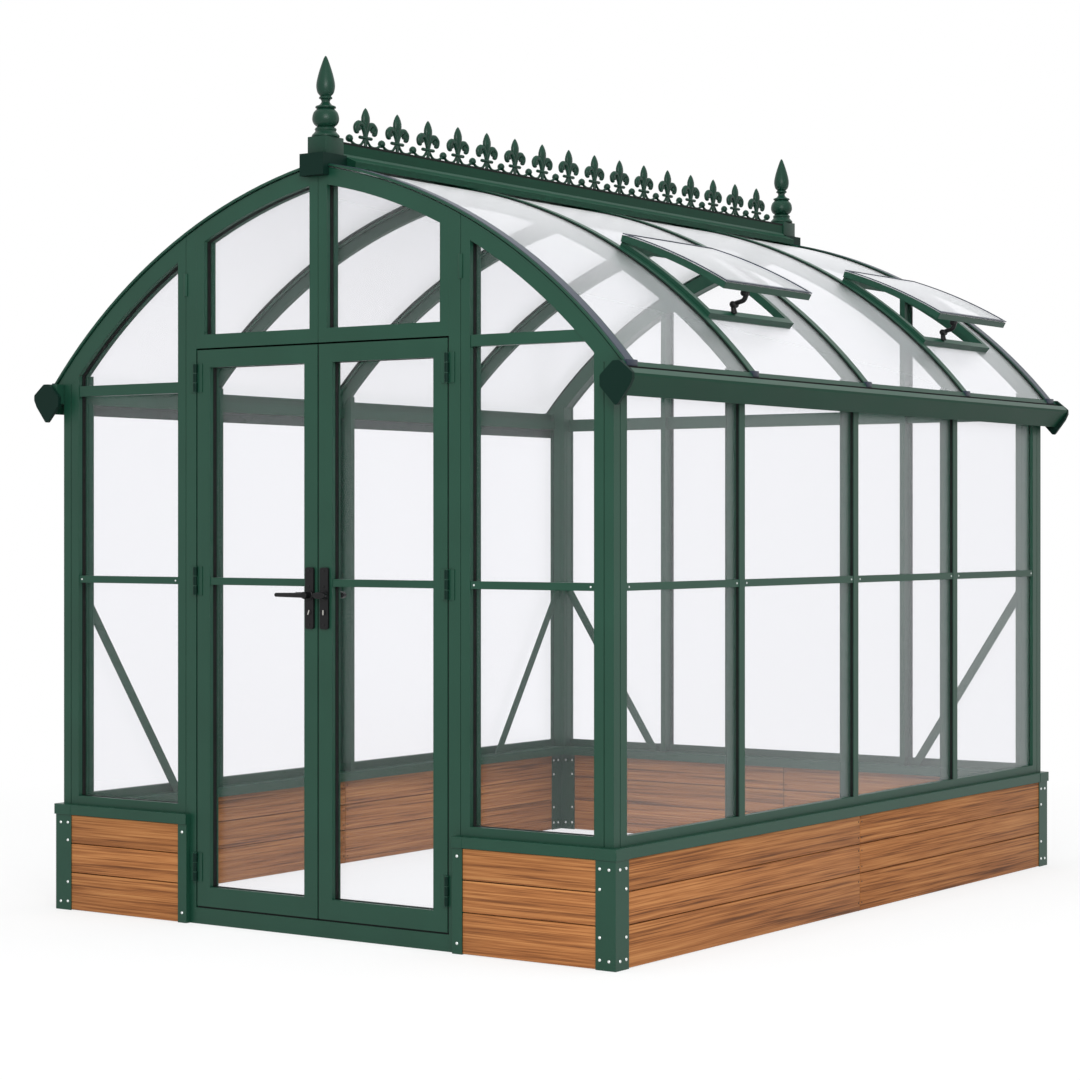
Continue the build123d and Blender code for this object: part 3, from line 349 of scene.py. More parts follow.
# Sill corner covers: thin folded plates over the mitres of the sill and over its ends beside the doorway.
# Aluminium sheet in the frame's green, sprung over the sill's edges.
sill_low, sill_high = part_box("side_sills")
sill_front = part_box("gable_sills")[0].y
plate_leg = 0.08
plate_proud = 0.0012
plate_inset = 0.002
plate_lap = 0.0005
plate_rise = (sill_low.z - plate_lap, sill_high.z + plate_lap)
doorway_strip = (0.5815, 0.6225)
mesh = bmesh.new()
for side_x in (-1, 1):
    for side_y in (-1, 1):
        for across in (1, 0):
            spans = []
            for axis, side in ((0, side_x), (1, side_y)):
                reaches = (-plate_inset, plate_proud) if axis == across else (-plate_leg, 0)
                spans.append([side * (sill_high[axis] + reach) for reach in reaches])
            add_block(mesh, (*spans, plate_rise), plate_lap)
    add_block(mesh, ([side_x * edge for edge in doorway_strip],
                     (sill_front - plate_proud, sill_front + plate_inset), plate_rise), plate_lap)
finished_piece("sill_covers", mesh, green_coat, "greenhouse")


# Rivets: dome-headed blind rivets that hold the angles and the doorway strips to the base, outside and in.
# Bare bright aluminium, pressed: small pale domes.
def plain_metal(name, tone, roughness):
    """Bare or blackened metal with faint rubbing marks, drawn coarser than real ones so that they show."""
    mark_size = 3
    gloss_spread = 0.08
    material = new_material(name)
    place = add_node(material, "ShaderNodeTexCoord").outputs["Object"]
    marks = add_node(material, "ShaderNodeTexNoise", {"Scale": per_metre(mark_size), "Detail": 2},
                     {"Vector": place})
    gloss = add_node(material, "ShaderNodeMapRange",
                     {"To Min": roughness - gloss_spread, "To Max": roughness + gloss_spread},
                     {"Value": marks.outputs["Fac"]})
    surface = add_node(material, "ShaderNodeBsdfPrincipled", {"Base Color": linear(tone), "Metallic": 1.0},
                       {"Roughness": gloss.outputs["Result"]})
    add_node(material, "ShaderNodeOutputMaterial", {}, {"Surface": surface.outputs["BSDF"]})
    return material


def add_lathe(mesh, profile, place, axis, sides=12):
    """Round solid about an axis through a place, from (radius, height) pairs; a radius of 0 makes a tip."""
    turn = Vector((0, 0, 1)).rotation_difference(Vector(axis)).to_matrix().to_4x4()
    seat = Matrix.Translation(place) @ turn
    angles = [2 * math.pi * step / sides for step in range(sides)]
    rings = []
    for radius, height in profile:
        ring = [(radius * math.cos(angle), radius * math.sin(angle), height) for angle in angles]
        if radius == 0:
            ring = [(0, 0, height)]
        rings.append([mesh.verts.new(seat @ Vector(spot)) for spot in ring])
    for lower, upper in zip(rings, rings[1:]):
        for step in range(sides):
            after = (step + 1) % sides
            corners = [lower[step % len(lower)], lower[after % len(lower)], upper[after % len(upper)],
                       upper[step % len(upper)]]
            mesh.faces.new(list(dict.fromkeys(corners)))
    for end in (rings[0], rings[-1]):
        if len(end) > 1:
            mesh.faces.new(end)


bright_aluminium = plain_metal("bare bright aluminium", "#E3E7E6", roughness=0.38)
head_seat = -0.001
rivet_radius = 0.0055
rivet_height = 0.0035
rivet_rim = 0.0006
rivet_dome_shares = ((0.8, 0.62), (0.45, 0.92), (0, 1))
rivet_profile = [(rivet_radius, head_seat), (rivet_radius, rivet_rim)]
rivet_profile += [(rivet_radius * out, rivet_height * up) for out, up in rivet_dome_shares]
outer_column = 0.06
inner_column = 0.025
outer_heights = (0.032, 0.102, 0.253, 0.317)
inner_heights = (0.03, 0.316)
strip_heights = (0.035, 0.318)
strip_middle = sum(doorway_strip) / 2
rivet_spots = [(outer_column, height) for height in outer_heights]
rivet_spots += [(inner_column, height) for height in inner_heights]
panel_back = 0.043
inner_angle_thick = 0.003
angle_back = panel_back + inner_angle_thick
angle_low, angle_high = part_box("base_angles")
mesh = bmesh.new()
for side_x in (-1, 1):
    for side_y in (-1, 1):
        corner = Vector((side_x * angle_high.x, side_y * angle_high.y, 0))
        for column, height in rivet_spots:
            for face, reach in ((1, 0), (-1, angle_back)):
                along_x = corner + Vector((-side_x * (column + reach), -side_y * reach, height))
                along_y = corner + Vector((-side_x * reach, -side_y * (column + reach), height))
                add_lathe(mesh, rivet_profile, along_x, (0, face * side_y, 0))
                add_lathe(mesh, rivet_profile, along_y, (face * side_x, 0, 0))
    for height in strip_heights:
        add_lathe(mesh, rivet_profile, (side_x * strip_middle, angle_low.y, height), (0, -1, 0))
finished_piece("base_rivets", mesh, bright_aluminium, "greenhouse")


# Board screws: small countersunk screws beside the butt joints of the base, on both faces of the panels.
# Coated steel, near black, sunk almost flush.
dark_steel = plain_metal("black coated steel screws", "#3A3A38", roughness=0.5)
screw_radius = 0.0032
screw_top = 0.0009
screw_profile = ((screw_radius, head_seat), (screw_radius, 0.0004), (screw_radius * 0.75, screw_top),
                 (0, screw_top))
screw_sides = 10
beside_joint = 0.012
screw_shares = (0.22, 0.78)
mesh = bmesh.new()
for node, along in jointed_runs:
    across = 1 - along
    low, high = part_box(node)
    bottom = low.z
    for board_share in board_shares:
        board_height = board_share * (high.z - low.z)
        for face, way in ((low[across], -1), (high[across], 1)):
            outward = Vector((0, 0, 0))
            outward[across] = way
            for screw_share in screw_shares:
                for beside in (-beside_joint, beside_joint):
                    spot = Vector((beside, beside, bottom + screw_share * board_height))
                    spot[across] = face
                    add_lathe(mesh, screw_profile, spot, outward, screw_sides)
        bottom += board_height
finished_piece("board_screws", mesh, dark_steel, "greenhouse")


# Rail screws: pan heads at both ends of each mid rail, where it meets its bar.
# Bare aluminium like the rivets, turned and left bright: a pale dot at each end of a rail.
pan_radius = 0.0035
pan_profile = ((pan_radius, head_seat), (pan_radius, 0.001), (pan_radius * 0.7, 0.0018), (0, 0.002))
mid_rail_height = 1.197
end_inset = 0.014
mesh = bmesh.new()
for low, high in solid_spans("wall_rails"):
    if not low.z < mid_rail_height < high.z:
        continue
    along = 0 if high.x - low.x > high.y - low.y else 1
    across = 1 - along
    outward = Vector((0, 0, 0))
    outward[across] = math.copysign(1, low[across])
    for end in (low[along] + end_inset, high[along] - end_inset):
        spot = (low + high) / 2
        spot[along] = end
        spot[across] = high[across] if outward[across] > 0 else low[across]
        add_lathe(mesh, pan_profile, spot, outward, screw_sides)
finished_piece("rail_screws", mesh, bright_aluminium, "greenhouse")


# Fanlight catches: cover plates over the joint of each door post and side panel, level with the fanlights.
# Folded aluminium in the frame's green, hooked into the joint.
catch_middle = 2.234
catch_height = 0.08
catch_width = 0.016
catch_proud = 0.004
catch_easing = 0.0012
half_joint = 0.001
post_low, post_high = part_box("door_posts")
mesh = bmesh.new()
for side in (-1, 1):
    joint = side * (post_high.x + half_joint)
    add_block(mesh, ((joint - catch_width / 2, joint + catch_width / 2),
                     (post_low.y - catch_proud, post_low.y),
                     (catch_middle - catch_height / 2, catch_middle + catch_height / 2)),
              catch_easing, segments=2)
finished_piece("fanlight_catches", mesh, green_coat, "greenhouse")


# Wall gaskets: strips under both edges of each bar's flange, where it clamps the panes of the walls.
# EPDM rubber, extruded with a matt skin and pushed in from outside: a black band beside each green flange.
def rubber_material():
    """Matt black rubber with a dusty bloom."""
    bloom_size = 25
    material = new_material("black EPDM rubber")
    place = add_node(material, "ShaderNodeTexCoord").outputs["Object"]
    bloom = add_node(material, "ShaderNodeTexNoise", {"Scale": per_metre(bloom_size), "Detail": 4},
                     {"Vector": place})
    colour = add_node(material, "ShaderNodeMix",
                      {"data_type": "RGBA", 6: linear("#0A0C0B"), 7: linear("#151817")},
                      {"Factor": bloom.outputs["Fac"]})
    surface = add_node(material, "ShaderNodeBsdfPrincipled", {"Roughness": 0.75, "Specular IOR Level": 0.2},
                       {"Base Color": colour.outputs[2]})
    add_node(material, "ShaderNodeOutputMaterial", {}, {"Surface": surface.outputs["BSDF"]})
    return material


rubber = rubber_material()
flange_half = 0.018
wall_gasket = 0.002
wall_gasket_lap = 0.0005
wall_gasket_easing = 0.0004
gasket_depths = (0.003, 0.013)
back_head_drop = 0.04
mesh = bmesh.new()
for node, across in wall_bars:
    along = 1 - across
    for low, high in solid_spans(node):
        outward = math.copysign(1, low[across])
        face = high[across] if outward > 0 else low[across]
        head = eave_foot if node == "side_wall_bars" else high.z - back_head_drop
        for edge in (-1, 1):
            start = (low[along] + high[along]) / 2 + edge * flange_half
            spans = {along: (start - edge * wall_gasket_lap, start + edge * wall_gasket),
                     across: [face - outward * depth for depth in gasket_depths]}
            add_block(mesh, (spans[0], spans[1], (low.z, head)), wall_gasket_easing)
finished_piece("wall_gaskets", mesh, rubber, "greenhouse")


# Front gaskets: strips in the deep reveals of the front gable and of both door leaves, against the glass.
# The same rubber, bent along the arched heads: a dark band round each reveal.
cap_low, cap_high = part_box("roof_cap_strips")
roof_foot = cap_high.x
roof_rise = cap_high.z - cap_low.z
ridge_slope_share = 0.334
ridge_slope = ridge_slope_share * math.atan2(roof_rise, roof_foot)
roof_radius = (roof_foot ** 2 + roof_rise ** 2) / (
    2 * (roof_rise * math.cos(ridge_slope) - roof_foot * math.sin(ridge_slope)))
arch_shift = roof_radius * math.sin(ridge_slope)
arch_centre = cap_high.z - roof_radius * math.cos(ridge_slope)


def arch_turn(inset, x):
    """Angle from the upright at which the roof outline, drawn in by inset, is x away from the ridge."""
    return math.asin((x + arch_shift) / (roof_radius - inset))


def arch_spot(inset, angle, side):
    """Point of the roof outline, drawn in by inset, at an angle from the upright on one slope."""
    radius = roof_radius - inset
    return side * (radius * math.sin(angle) - arch_shift), arch_centre + radius * math.cos(angle)


def add_bent_strip(mesh, spot, insets, y_span, angles, steps):
    """Curved strip between two insets of a curve, over a span along the building."""
    section = [(insets[0], y_span[0]), (insets[0], y_span[1]), (insets[1], y_span[1]), (insets[1], y_span[0])]
    rings = []
    for step in range(steps + 1):
        angle = angles[0] + (angles[1] - angles[0]) * step / steps
        ring = []
        for inset, y in section:
            x, z = spot(inset, angle)
            ring.append(mesh.verts.new((x, y, z)))
        rings.append(ring)
    for lower, upper in zip(rings, rings[1:]):
        for corner in range(4):
            after = (corner + 1) % 4
            mesh.faces.new((lower[corner], lower[after], upper[after], upper[corner]))
    mesh.faces.new(rings[0])
    mesh.faces.new(rings[-1])


def add_arch_strip(mesh, insets, y_span, angles, side, steps=36):
    """Curved strip along one slope of the roof."""
    add_bent_strip(mesh, lambda inset, angle: arch_spot(inset, angle, side), insets, y_span, angles, steps)


leaves = (("left_door", -1), ("right_door", 1))
front_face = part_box("side_panel_frames")[0].y
gasket_start = 0.017
gasket_thick = 0.0012
gasket_easing = gasket_thick / 4
pane_grip = 0.0077
arch_inner = 0.0706
mesh = bmesh.new()
for low, high in solid_spans("front_gable_panes"):
    side = math.copysign(1, low.x + high.x)
    near, far = sorted(abs(edge) for edge in (low.x, high.x))
    near += pane_grip
    far -= pane_grip
    foot = low.z + pane_grip
    y_span = (front_face + gasket_start, low.y)
    turns = (arch_turn(arch_inner, near), arch_turn(arch_inner, far))
    for x, inward, turn in ((near, 1, turns[0]), (far, -1, turns[1])):
        head = arch_spot(arch_inner, turn, side)[1]
        add_block(mesh, ((side * x, side * (x + inward * gasket_thick)), y_span, (foot, head)), gasket_easing)
    add_block(mesh, ((side * near, side * far), y_span, (foot, foot + gasket_thick)), gasket_easing)
    add_arch_strip(mesh, (arch_inner, arch_inner + gasket_thick), y_span, turns, side)
finished_piece("front_gaskets", mesh, rubber, "greenhouse")
for body, _ in leaves:
    mesh = bmesh.new()
    low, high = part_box(body + "_pane")
    xs = (low.x + pane_grip, high.x - pane_grip)
    zs = (low.z + pane_grip, high.z - pane_grip)
    y_span = (front_face + gasket_start, low.y)
    for x_span, z_span in (((xs[0], xs[0] + gasket_thick), zs), ((xs[1] - gasket_thick, xs[1]), zs),
                           (xs, (zs[0], zs[0] + gasket_thick)), (xs, (zs[1] - gasket_thick, zs[1]))):
        add_block(mesh, (x_span, y_span, z_span), gasket_easing)
    finished_piece(body + "_gaskets", mesh, rubber, body)


# Roof ribs: T-section bars bent to the roof's curve, a flange under the glass, a slim web and a beaded edge.
# Extruded aluminium in the green coat, feet on the wall bars and the eave beams.
rib_flange = (0.0126, 0.0206)
rib_web = (0.0206, 0.058)
rib_web_half = 0.0065
rib_bead = (0.0575, 0.0626)
rib_bead_half = 0.011
rib_steps = 48
eave_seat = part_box("eave_beams")[1].z
foot_turn = math.acos((eave_seat - arch_centre) / (roof_radius - rib_flange[0]))
mesh = bmesh.new()
for low, high in solid_spans("roof_ribs"):
    middle = (low.y + high.y) / 2
    for insets, half in ((rib_flange, flange_half), (rib_web, rib_web_half), (rib_bead, rib_bead_half)):
        turns = (arch_turn(insets[0], 0), foot_turn)
        for side in (-1, 1):
            add_arch_strip(mesh, insets, (middle - half, middle + half), turns, side, rib_steps)
ribs = finished_piece("roof_rib_bars", mesh, green_coat, "greenhouse")
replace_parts(ribs, "roof_ribs")


# Gutters and ridge capping: folded sheet, a rolled lip along each gutter and a bead along the ridge's sides.
# Aluminium in the green coat; a darker, flatter copy paints shade on the sheet, so lip and bead show lighter.
def add_prism(mesh, outline, y_span):
    """Straight bar along the building, from (x, z) corners of its section."""
    ends = [[mesh.verts.new((x, y, z)) for x, z in outline] for y in y_span]
    for corner in range(len(outline)):
        after = (corner + 1) % len(outline)
        mesh.faces.new((ends[0][corner], ends[0][after], ends[1][after], ends[1][corner]))
    for end in ends:
        mesh.faces.new(end)


# Darker copy of the green coat: painted shade on the gutters and the ridge capping.
painted_shade_coat = coated_metal("green coated sheet with painted shade", "#0D3325", "#133D2D", roughness=0.46, sheen=0.1)
finish_nodes(("gutters", "ridge_capping"), painted_shade_coat)
gutter_low, gutter_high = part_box("gutters")
capping_low, capping_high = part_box("ridge_capping")
gutter_bevel = 0.016
rolled_proud = 0.0007
rolled_back = 0.002
top_edge = (gutter_high.x - gutter_bevel, gutter_high.z)
low_edge = (gutter_high.x, gutter_high.z - gutter_bevel)
rolled_lip = ((top_edge, -rolled_back), (top_edge, rolled_proud),
              (low_edge, rolled_proud), (low_edge, -rolled_back))
ridge_side = 0.035
bead_drop = 0.0475
bead_size = 0.008
bead_sink = 0.003
bead_lap = 0.001
bead_back = ridge_side - bead_lap
bead_level = capping_high.z - bead_drop
ridge_bead = ((bead_back, bead_level + bead_size), (ridge_side + bead_size, bead_level - bead_sink),
              (bead_back, bead_level - bead_sink))
mesh = bmesh.new()
for side in (-1, 1):
    outline = [(side * (x + reach), z + reach) for (x, z), reach in rolled_lip]
    add_prism(mesh, outline, (gutter_low.y, gutter_high.y))
    outline = [(side * x, z) for x, z in ridge_bead]
    add_prism(mesh, outline, (capping_low.y, capping_high.y))
finished_piece("gutter_lips", mesh, green_coat, "greenhouse", smooth_angle=20)


# Shadow strips: black strips under the cresting and along the foot of the fascia behind each gutter.
# Painted shadow in the gaskets' rubber: thin dark lines where the trough and the cresting's legs cast shade.
fascia_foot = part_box("eave_beams")[1].x
shadow_strip_proud = 0.0006
shadow_strip_end = 0.001
fascia_shadow_lap = 0.01
fascia_shadow_height = 0.009
fascia_shadow_easing = 0.0004
crest_shadow_lap = 0.002
crest_shadow_drops = (0.0075, 0.0005)
crest_shadow_easing = 0.0003
mesh = bmesh.new()
# Each strip is a dark sheet put where only shade falls: painted shadow.
for side in (-1, 1):
    add_block(mesh, ((side * (fascia_foot - fascia_shadow_lap), side * (fascia_foot + shadow_strip_proud)),
                     (gutter_low.y + shadow_strip_end, gutter_high.y - shadow_strip_end),
                     (gutter_high.z, gutter_high.z + fascia_shadow_height)), fascia_shadow_easing)
    add_block(mesh, ((side * (ridge_side - crest_shadow_lap), side * (ridge_side + shadow_strip_proud)),
                     (capping_low.y + shadow_strip_end, capping_high.y - shadow_strip_end),
                     [capping_high.z - drop for drop in crest_shadow_drops]), crest_shadow_easing)
finished_piece("painted_shadow_strips", mesh, rubber, "greenhouse")


# Gutter end caps and ridge end blocks: sand castings in a darker batch of the same coat, screwed on.
# They give the eye a near-black green with a slightly rougher skin than the bars.
casting_coat = coated_metal("dark green coated cast aluminium", "#07201A", "#0B271F",
                            roughness=0.5, sheen=0.1)
finish_nodes(("gutter_end_caps", "ridge_end_blocks"), casting_coat)


# Hinge barrels: sleeves over the three knuckles of each door hinge, two on the post and one on the leaf.
# Die-cast zinc in the same dark coat: a near-black rod between the green plates.
barrel_axis = (0.551, -1.588)
barrel_radius = 0.0073
barrel_sides = 20
upright = (0, 0, 1)
knuckles = 3
knuckle_easing = 0.001
post_barrels = bmesh.new()
for body, side in leaves:
    leaf_barrels = bmesh.new()
    for low, high in solid_spans(body + "_hinges"):
        knuckle = (high.z - low.z) / knuckles
        start = knuckle_easing
        end = knuckle - knuckle_easing
        sleeve = ((barrel_radius - knuckle_easing, start), (barrel_radius, start + knuckle_easing),
                  (barrel_radius, end - knuckle_easing), (barrel_radius - knuckle_easing, end))
        for place, barrels in ((0, post_barrels), (1, leaf_barrels), (2, post_barrels)):
            foot = (side * barrel_axis[0], barrel_axis[1], low.z + place * knuckle)
            add_lathe(barrels, sleeve, foot, upright, barrel_sides)
    finished_piece(body + "_hinge_barrels", leaf_barrels, casting_coat, body)
finished_piece("post_hinge_barrels", post_barrels, casting_coat, "greenhouse")


# Gable cover strips and rib feet: dark trim clipped on the gable caps, and clips at the rib feet.
# Extruded PVC with a soft sheen; its blue-grey tone is a painted reflection of the sky.
# The trim's blue-grey colours are a painted sky reflection over a dark trim.
sky_reflection_trim = coated_metal("dark PVC trim with painted sky reflection", "#232B39", "#2C3647", roughness=0.34, sheen=0.3)
trim_insets = (-0.0012, 0.0004)
trim_edge = 0.007
trim_start = 0.053
trim_stop = 0.002
trim_turns = (arch_turn(0, trim_start), arch_turn(0, roof_foot - trim_stop))
gable_cap_reach = 1.5
clip_reaches = (-0.006, 0.009)
clip_rises = (-0.015, 0.006)
clip_lap = 0.001
clip_easing = 0.002
mesh = bmesh.new()
for low, high in solid_spans("roof_cap_strips"):
    middle = (low.y + high.y) / 2
    if abs(middle) > gable_cap_reach:
        for side in (-1, 1):
            add_arch_strip(mesh, trim_insets, (low.y + trim_edge, high.y - trim_edge), trim_turns, side)
    for side in (-1, 1):
        add_block(mesh, ([side * (roof_foot + reach) for reach in clip_reaches],
                         (low.y - clip_lap, high.y + clip_lap),
                         [cap_low.z + rise for rise in clip_rises]), clip_easing, segments=2)
finished_piece("sky_reflection_trim", mesh, sky_reflection_trim, "greenhouse")


# Roof seals: black rubber strips under the edges of the cap strips, where these clamp the curved glass.
# The same rubber as the gaskets: a thin matt black line along both edges of each strip.
seal_width = 0.0035
seal_lap = 0.001
seal_insets = (0.004, 0.0082)
seal_start = 0.09
seal_stop = 0.008
seal_turns = (arch_turn(seal_insets[0], seal_start), arch_turn(seal_insets[0], roof_foot - seal_stop))
glazed_reach = 1.55
mesh = bmesh.new()
for low, high in solid_spans("roof_cap_strips"):
    for edge, outward in ((low.y, -1), (high.y, 1)):
        if abs(edge) > glazed_reach:
            continue
        y_span = sorted((edge - outward * seal_lap, edge + outward * seal_width))
        for side in (-1, 1):
            add_arch_strip(mesh, seal_insets, y_span, seal_turns, side)
finished_piece("roof_seals", mesh, rubber, "greenhouse")


# Vent stays: cranked arms with a pin bracket on the sash and a foot on the curb, which prop each vent open.
# Die-cast zinc with a satin black coat, pinned at both ends: a soft charcoal black.
def smooth_path(points, steps=6):
    """Rounded path through points, as one chain of Bezier spans."""
    places = [Vector(point) for point in points]
    path = [places[0]]
    for index, (start, end) in enumerate(zip(places, places[1:])):
        before = places[max(index - 1, 0)]
        after = places[min(index + 2, len(places) - 1)]
        lead = start + (end - before) / 6
        trail = end - (after - start) / 6
        path.extend(interpolate_bezier(start, lead, trail, end, steps + 1)[1:])
    return path


def add_tube(mesh, path, radii, across, flatness=1.0, sides=10):
    """Round or flattened bar along a path: across is its second direction, radii run evenly along it."""
    across = Vector(across).normalized()
    rings = []
    last = len(path) - 1
    for index, spot in enumerate(path):
        ahead = (path[min(index + 1, last)] - path[max(index - 1, 0)]).normalized()
        side = ahead.cross(across).normalized()
        share = index / last * (len(radii) - 1)
        low = min(int(share), len(radii) - 2)
        radius = radii[low] + (radii[low + 1] - radii[low]) * (share - low)
        ring = []
        for step in range(sides):
            angle = 2 * math.pi * step / sides
            ring.append(mesh.verts.new(spot + side * radius * math.cos(angle)
                                       + across * radius * flatness * math.sin(angle)))
        rings.append(ring)
    for lower, upper in zip(rings, rings[1:]):
        for step in range(sides):
            after = (step + 1) % sides
            mesh.faces.new((lower[step], lower[after], upper[after], upper[step]))
    mesh.faces.new(rings[0])
    mesh.faces.new(rings[-1])


black_coat = coated_metal("satin black coated zinc", "#0B0B0C", "#121214", roughness=0.36, sheen=0.22)
stay_inset = Vector((0.006, 0, 0.003))
stay_radii = (0.011, 0.0085, 0.0085, 0.0085, 0.011)
stay_bow = Vector((-0.014, 0, 0.01))
low_bend = 0.28
high_bend = 0.66
bracket_share = 0.9
pin_radius = 0.0115
pin_end_radius = pin_radius * 0.6
pin_profile = ((pin_end_radius, -0.016), (pin_radius, -0.013), (pin_radius, 0.013), (pin_end_radius, 0.016))
pin_sides = 14
along_ridge = (0, 1, 0)
mesh = bmesh.new()
for low, high in solid_spans("vent_stays"):
    foot = low + stay_inset
    head = high - stay_inset
    foot.y = head.y = (low.y + high.y) / 2
    run = head - foot
    elbow = foot + run * low_bend + stay_bow
    path = smooth_path([foot, elbow, foot + run * high_bend - stay_bow / 2, head])
    add_tube(mesh, path, stay_radii, along_ridge, flatness=1.1, sides=12)
    for pin in (elbow, foot + run * bracket_share):
        add_lathe(mesh, pin_profile, pin, along_ridge, pin_sides)
stays = finished_piece("vent_stay_arms", mesh, black_coat, "greenhouse")
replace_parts(stays, "vent_stays")


# Vent sashes: shallow trays of thin folded bars, with a glass sheet bedded on top out to their edges.
# Green-coated aluminium; a tape round the sheet, its blue-grey a painted sky reflection; hinged at the top
# edge.
vent_top = math.radians(30.2)
vent_foot = math.radians(42.3)
sash_lean = math.radians(17.7)
curb_rise = 0.014
sash_seat = 0.0003
sash_overhang = 0.008
sash_thick = 0.028
sash_steps = 16
end_steps = 2
tray_wall = 0.011
tape_width = 0.011
tape_thick = 0.003
tape_lap = 0.0002
sheet_thick = 0.004
sheet_margin = 0.001
sheet_top = sash_thick - sheet_margin
sheet_heights = (sheet_top - sheet_thick, sheet_top)
tape_heights = (sheet_top - tape_lap, sheet_top + tape_thick)
wall_heights = (0, sheet_heights[0])
hinge_x, hinge_z = arch_spot(-curb_rise, vent_top, 1)
sash_radius = roof_radius + curb_rise
sash_turn = vent_foot - vent_top + sash_overhang / roof_radius


def sash_spot(height, angle):
    """Point of a raised sash: height over its underside, angle from its hinged edge."""
    radius = sash_radius + sash_seat + height
    turn = sash_lean + angle
    return (hinge_x + radius * math.sin(turn) - sash_radius * math.sin(sash_lean),
            hinge_z + radius * math.cos(turn) - sash_radius * math.cos(sash_lean))


def add_sash_ring(mesh, heights, width, y_span):
    """Four strips round the edges of a raised sash."""
    start, end = y_span
    for strip in ((start, start + width), (end - width, end)):
        add_bent_strip(mesh, sash_spot, heights, strip, (0, sash_turn), sash_steps)
    width_turn = width / sash_radius
    for turns in ((0, width_turn), (sash_turn - width_turn, sash_turn)):
        add_bent_strip(mesh, sash_spot, heights, (start + width, end - width), turns, end_steps)


trays = bmesh.new()
tapes = bmesh.new()
sheets = bmesh.new()
for low, high in solid_spans("vent_sashes"):
    add_sash_ring(trays, wall_heights, tray_wall, (low.y, high.y))
    add_sash_ring(tapes, tape_heights, tape_width, (low.y, high.y))
    add_bent_strip(sheets, sash_spot, sheet_heights, (low.y + sheet_margin, high.y - sheet_margin),
                   (0, sash_turn), sash_steps)
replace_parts(finished_piece("vent_sash_trays", trays, green_coat, "greenhouse"), "vent_sashes")
# The tapes' blue-grey is a painted reflection of the sky.
finished_piece("vent_sash_tapes", tapes, sky_reflection_trim, "greenhouse")


# Finials: a square plinth with a turned flange, ring, ball, collar, neck, bead and pointed bud.
# Cast aluminium in a deep green coat with soft highlights, each screwed down through its ridge end block.
cast_green = coated_metal("green coated cast aluminium", "#0D2F23", "#133A2C", roughness=0.36, sheen=0.25)
finial_low, finial_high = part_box("finials")
plinth_half = 0.04
plinth_length = 0.096
plinth_height = 0.06
plinth_easing = 0.002
flange = (finial_high.x - finial_low.x) / 2
flange_foot_share = 0.9
finial_sides = 40
finial_foot = finial_low.z + plinth_height
turned_height = finial_high.z - finial_foot
# Steps of each rounded moulding, and its points as shares of the flange and of the turned height.
mouldings = (
    (4, ((1.0, 0.006), (1.01, 0.018), (0.97, 0.032), (0.84, 0.055), (0.74, 0.078))),
    (4, ((0.74, 0.08), (0.79, 0.098), (0.72, 0.118), (0.6, 0.126))),
    (6, ((0.6, 0.128), (0.86, 0.166), (0.975, 0.225), (0.88, 0.3), (0.62, 0.35))),
    (4, ((0.64, 0.352), (0.745, 0.362), (0.72, 0.38), (0.52, 0.392))),
    (4, ((0.46, 0.4), (0.33, 0.425), (0.31, 0.445), (0.36, 0.464))),
    (4, ((0.38, 0.466), (0.485, 0.478), (0.46, 0.495), (0.38, 0.503))),
    (5, ((0.38, 0.505), (0.58, 0.545), (0.675, 0.61), (0.655, 0.68), (0.5, 0.79), (0.28, 0.905), (0.1, 0.982),
         (0.0, 1.0))),
)
profile = [(flange * flange_foot_share, 0)]
for steps, shares in mouldings:
    curve = smooth_path([(out, up, 0) for out, up in shares], steps)
    profile += [(max(spot.x, 0) * flange, spot.y * turned_height) for spot in curve]
mesh = bmesh.new()
for side in (-1, 1):
    centre_y = side * (finial_high.y - plinth_length / 2)
    add_block(mesh, ((-plinth_half, plinth_half),
                     (centre_y - plinth_length / 2, centre_y + plinth_length / 2),
                     (finial_low.z, finial_foot)), plinth_easing, segments=2)
    add_lathe(mesh, profile, (0, centre_y, finial_foot), upright, finial_sides)
finials = finished_piece("turned_finials", mesh, cast_green, "greenhouse", smooth_angle=35)
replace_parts(finials, "finials")


# Ridge cresting: a row of fleurs-de-lis on scroll legs, a collar at each waist and a knob between each two.
# The same coated aluminium, rounded as sand castings are and screwed to the ridge at each stem.
crest_low, crest_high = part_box("ridge_cresting")
crest_count = 16
knob_radius = 0.014
half_pitch = (crest_high.y - crest_low.y - 2 * knob_radius) / crest_count / 2
crest_height = crest_high.z - crest_low.z
# Shares are of half the pitch, across from the stem, and of the height, up from the foot.
spear_rises = (0.3, 0.4, 0.5, 0.6, 0.68, 0.76, 0.84, 0.91, 0.96, 0.995)
spear_width_shares = (0.07, 0.09, 0.15, 0.2, 0.225, 0.22, 0.18, 0.125, 0.07, 0.008)
spear_radii = [share * half_pitch for share in spear_width_shares]
stem_rises = (0.003, 0.12, 0.26, 0.36)
stem_radii = (0.0075, 0.006, 0.007, 0.006)
waist_rise = 0.25
waist_reaches = (-0.4, -0.37, -0.3, -0.12, 0, 0.12, 0.3, 0.37, 0.4)
waist_radii = (0.001, 0.0055, 0.0062, 0.0055, 0.0085, 0.0055, 0.0062, 0.0055, 0.001)
curl_shares = ((0.03, 0.27), (0.1, 0.42), (0.24, 0.56), (0.43, 0.585), (0.59, 0.5), (0.58, 0.385),
               (0.46, 0.37))
curl_radii = (0.006, 0.0075, 0.0095, 0.0108, 0.0105, 0.0085, 0.0055)
eye_reach = 0.43
eye_rise = 0.465
eye_profile = ((0.006, -0.006), (0.0095, -0.004), (0.0095, 0.004), (0.006, 0.006))
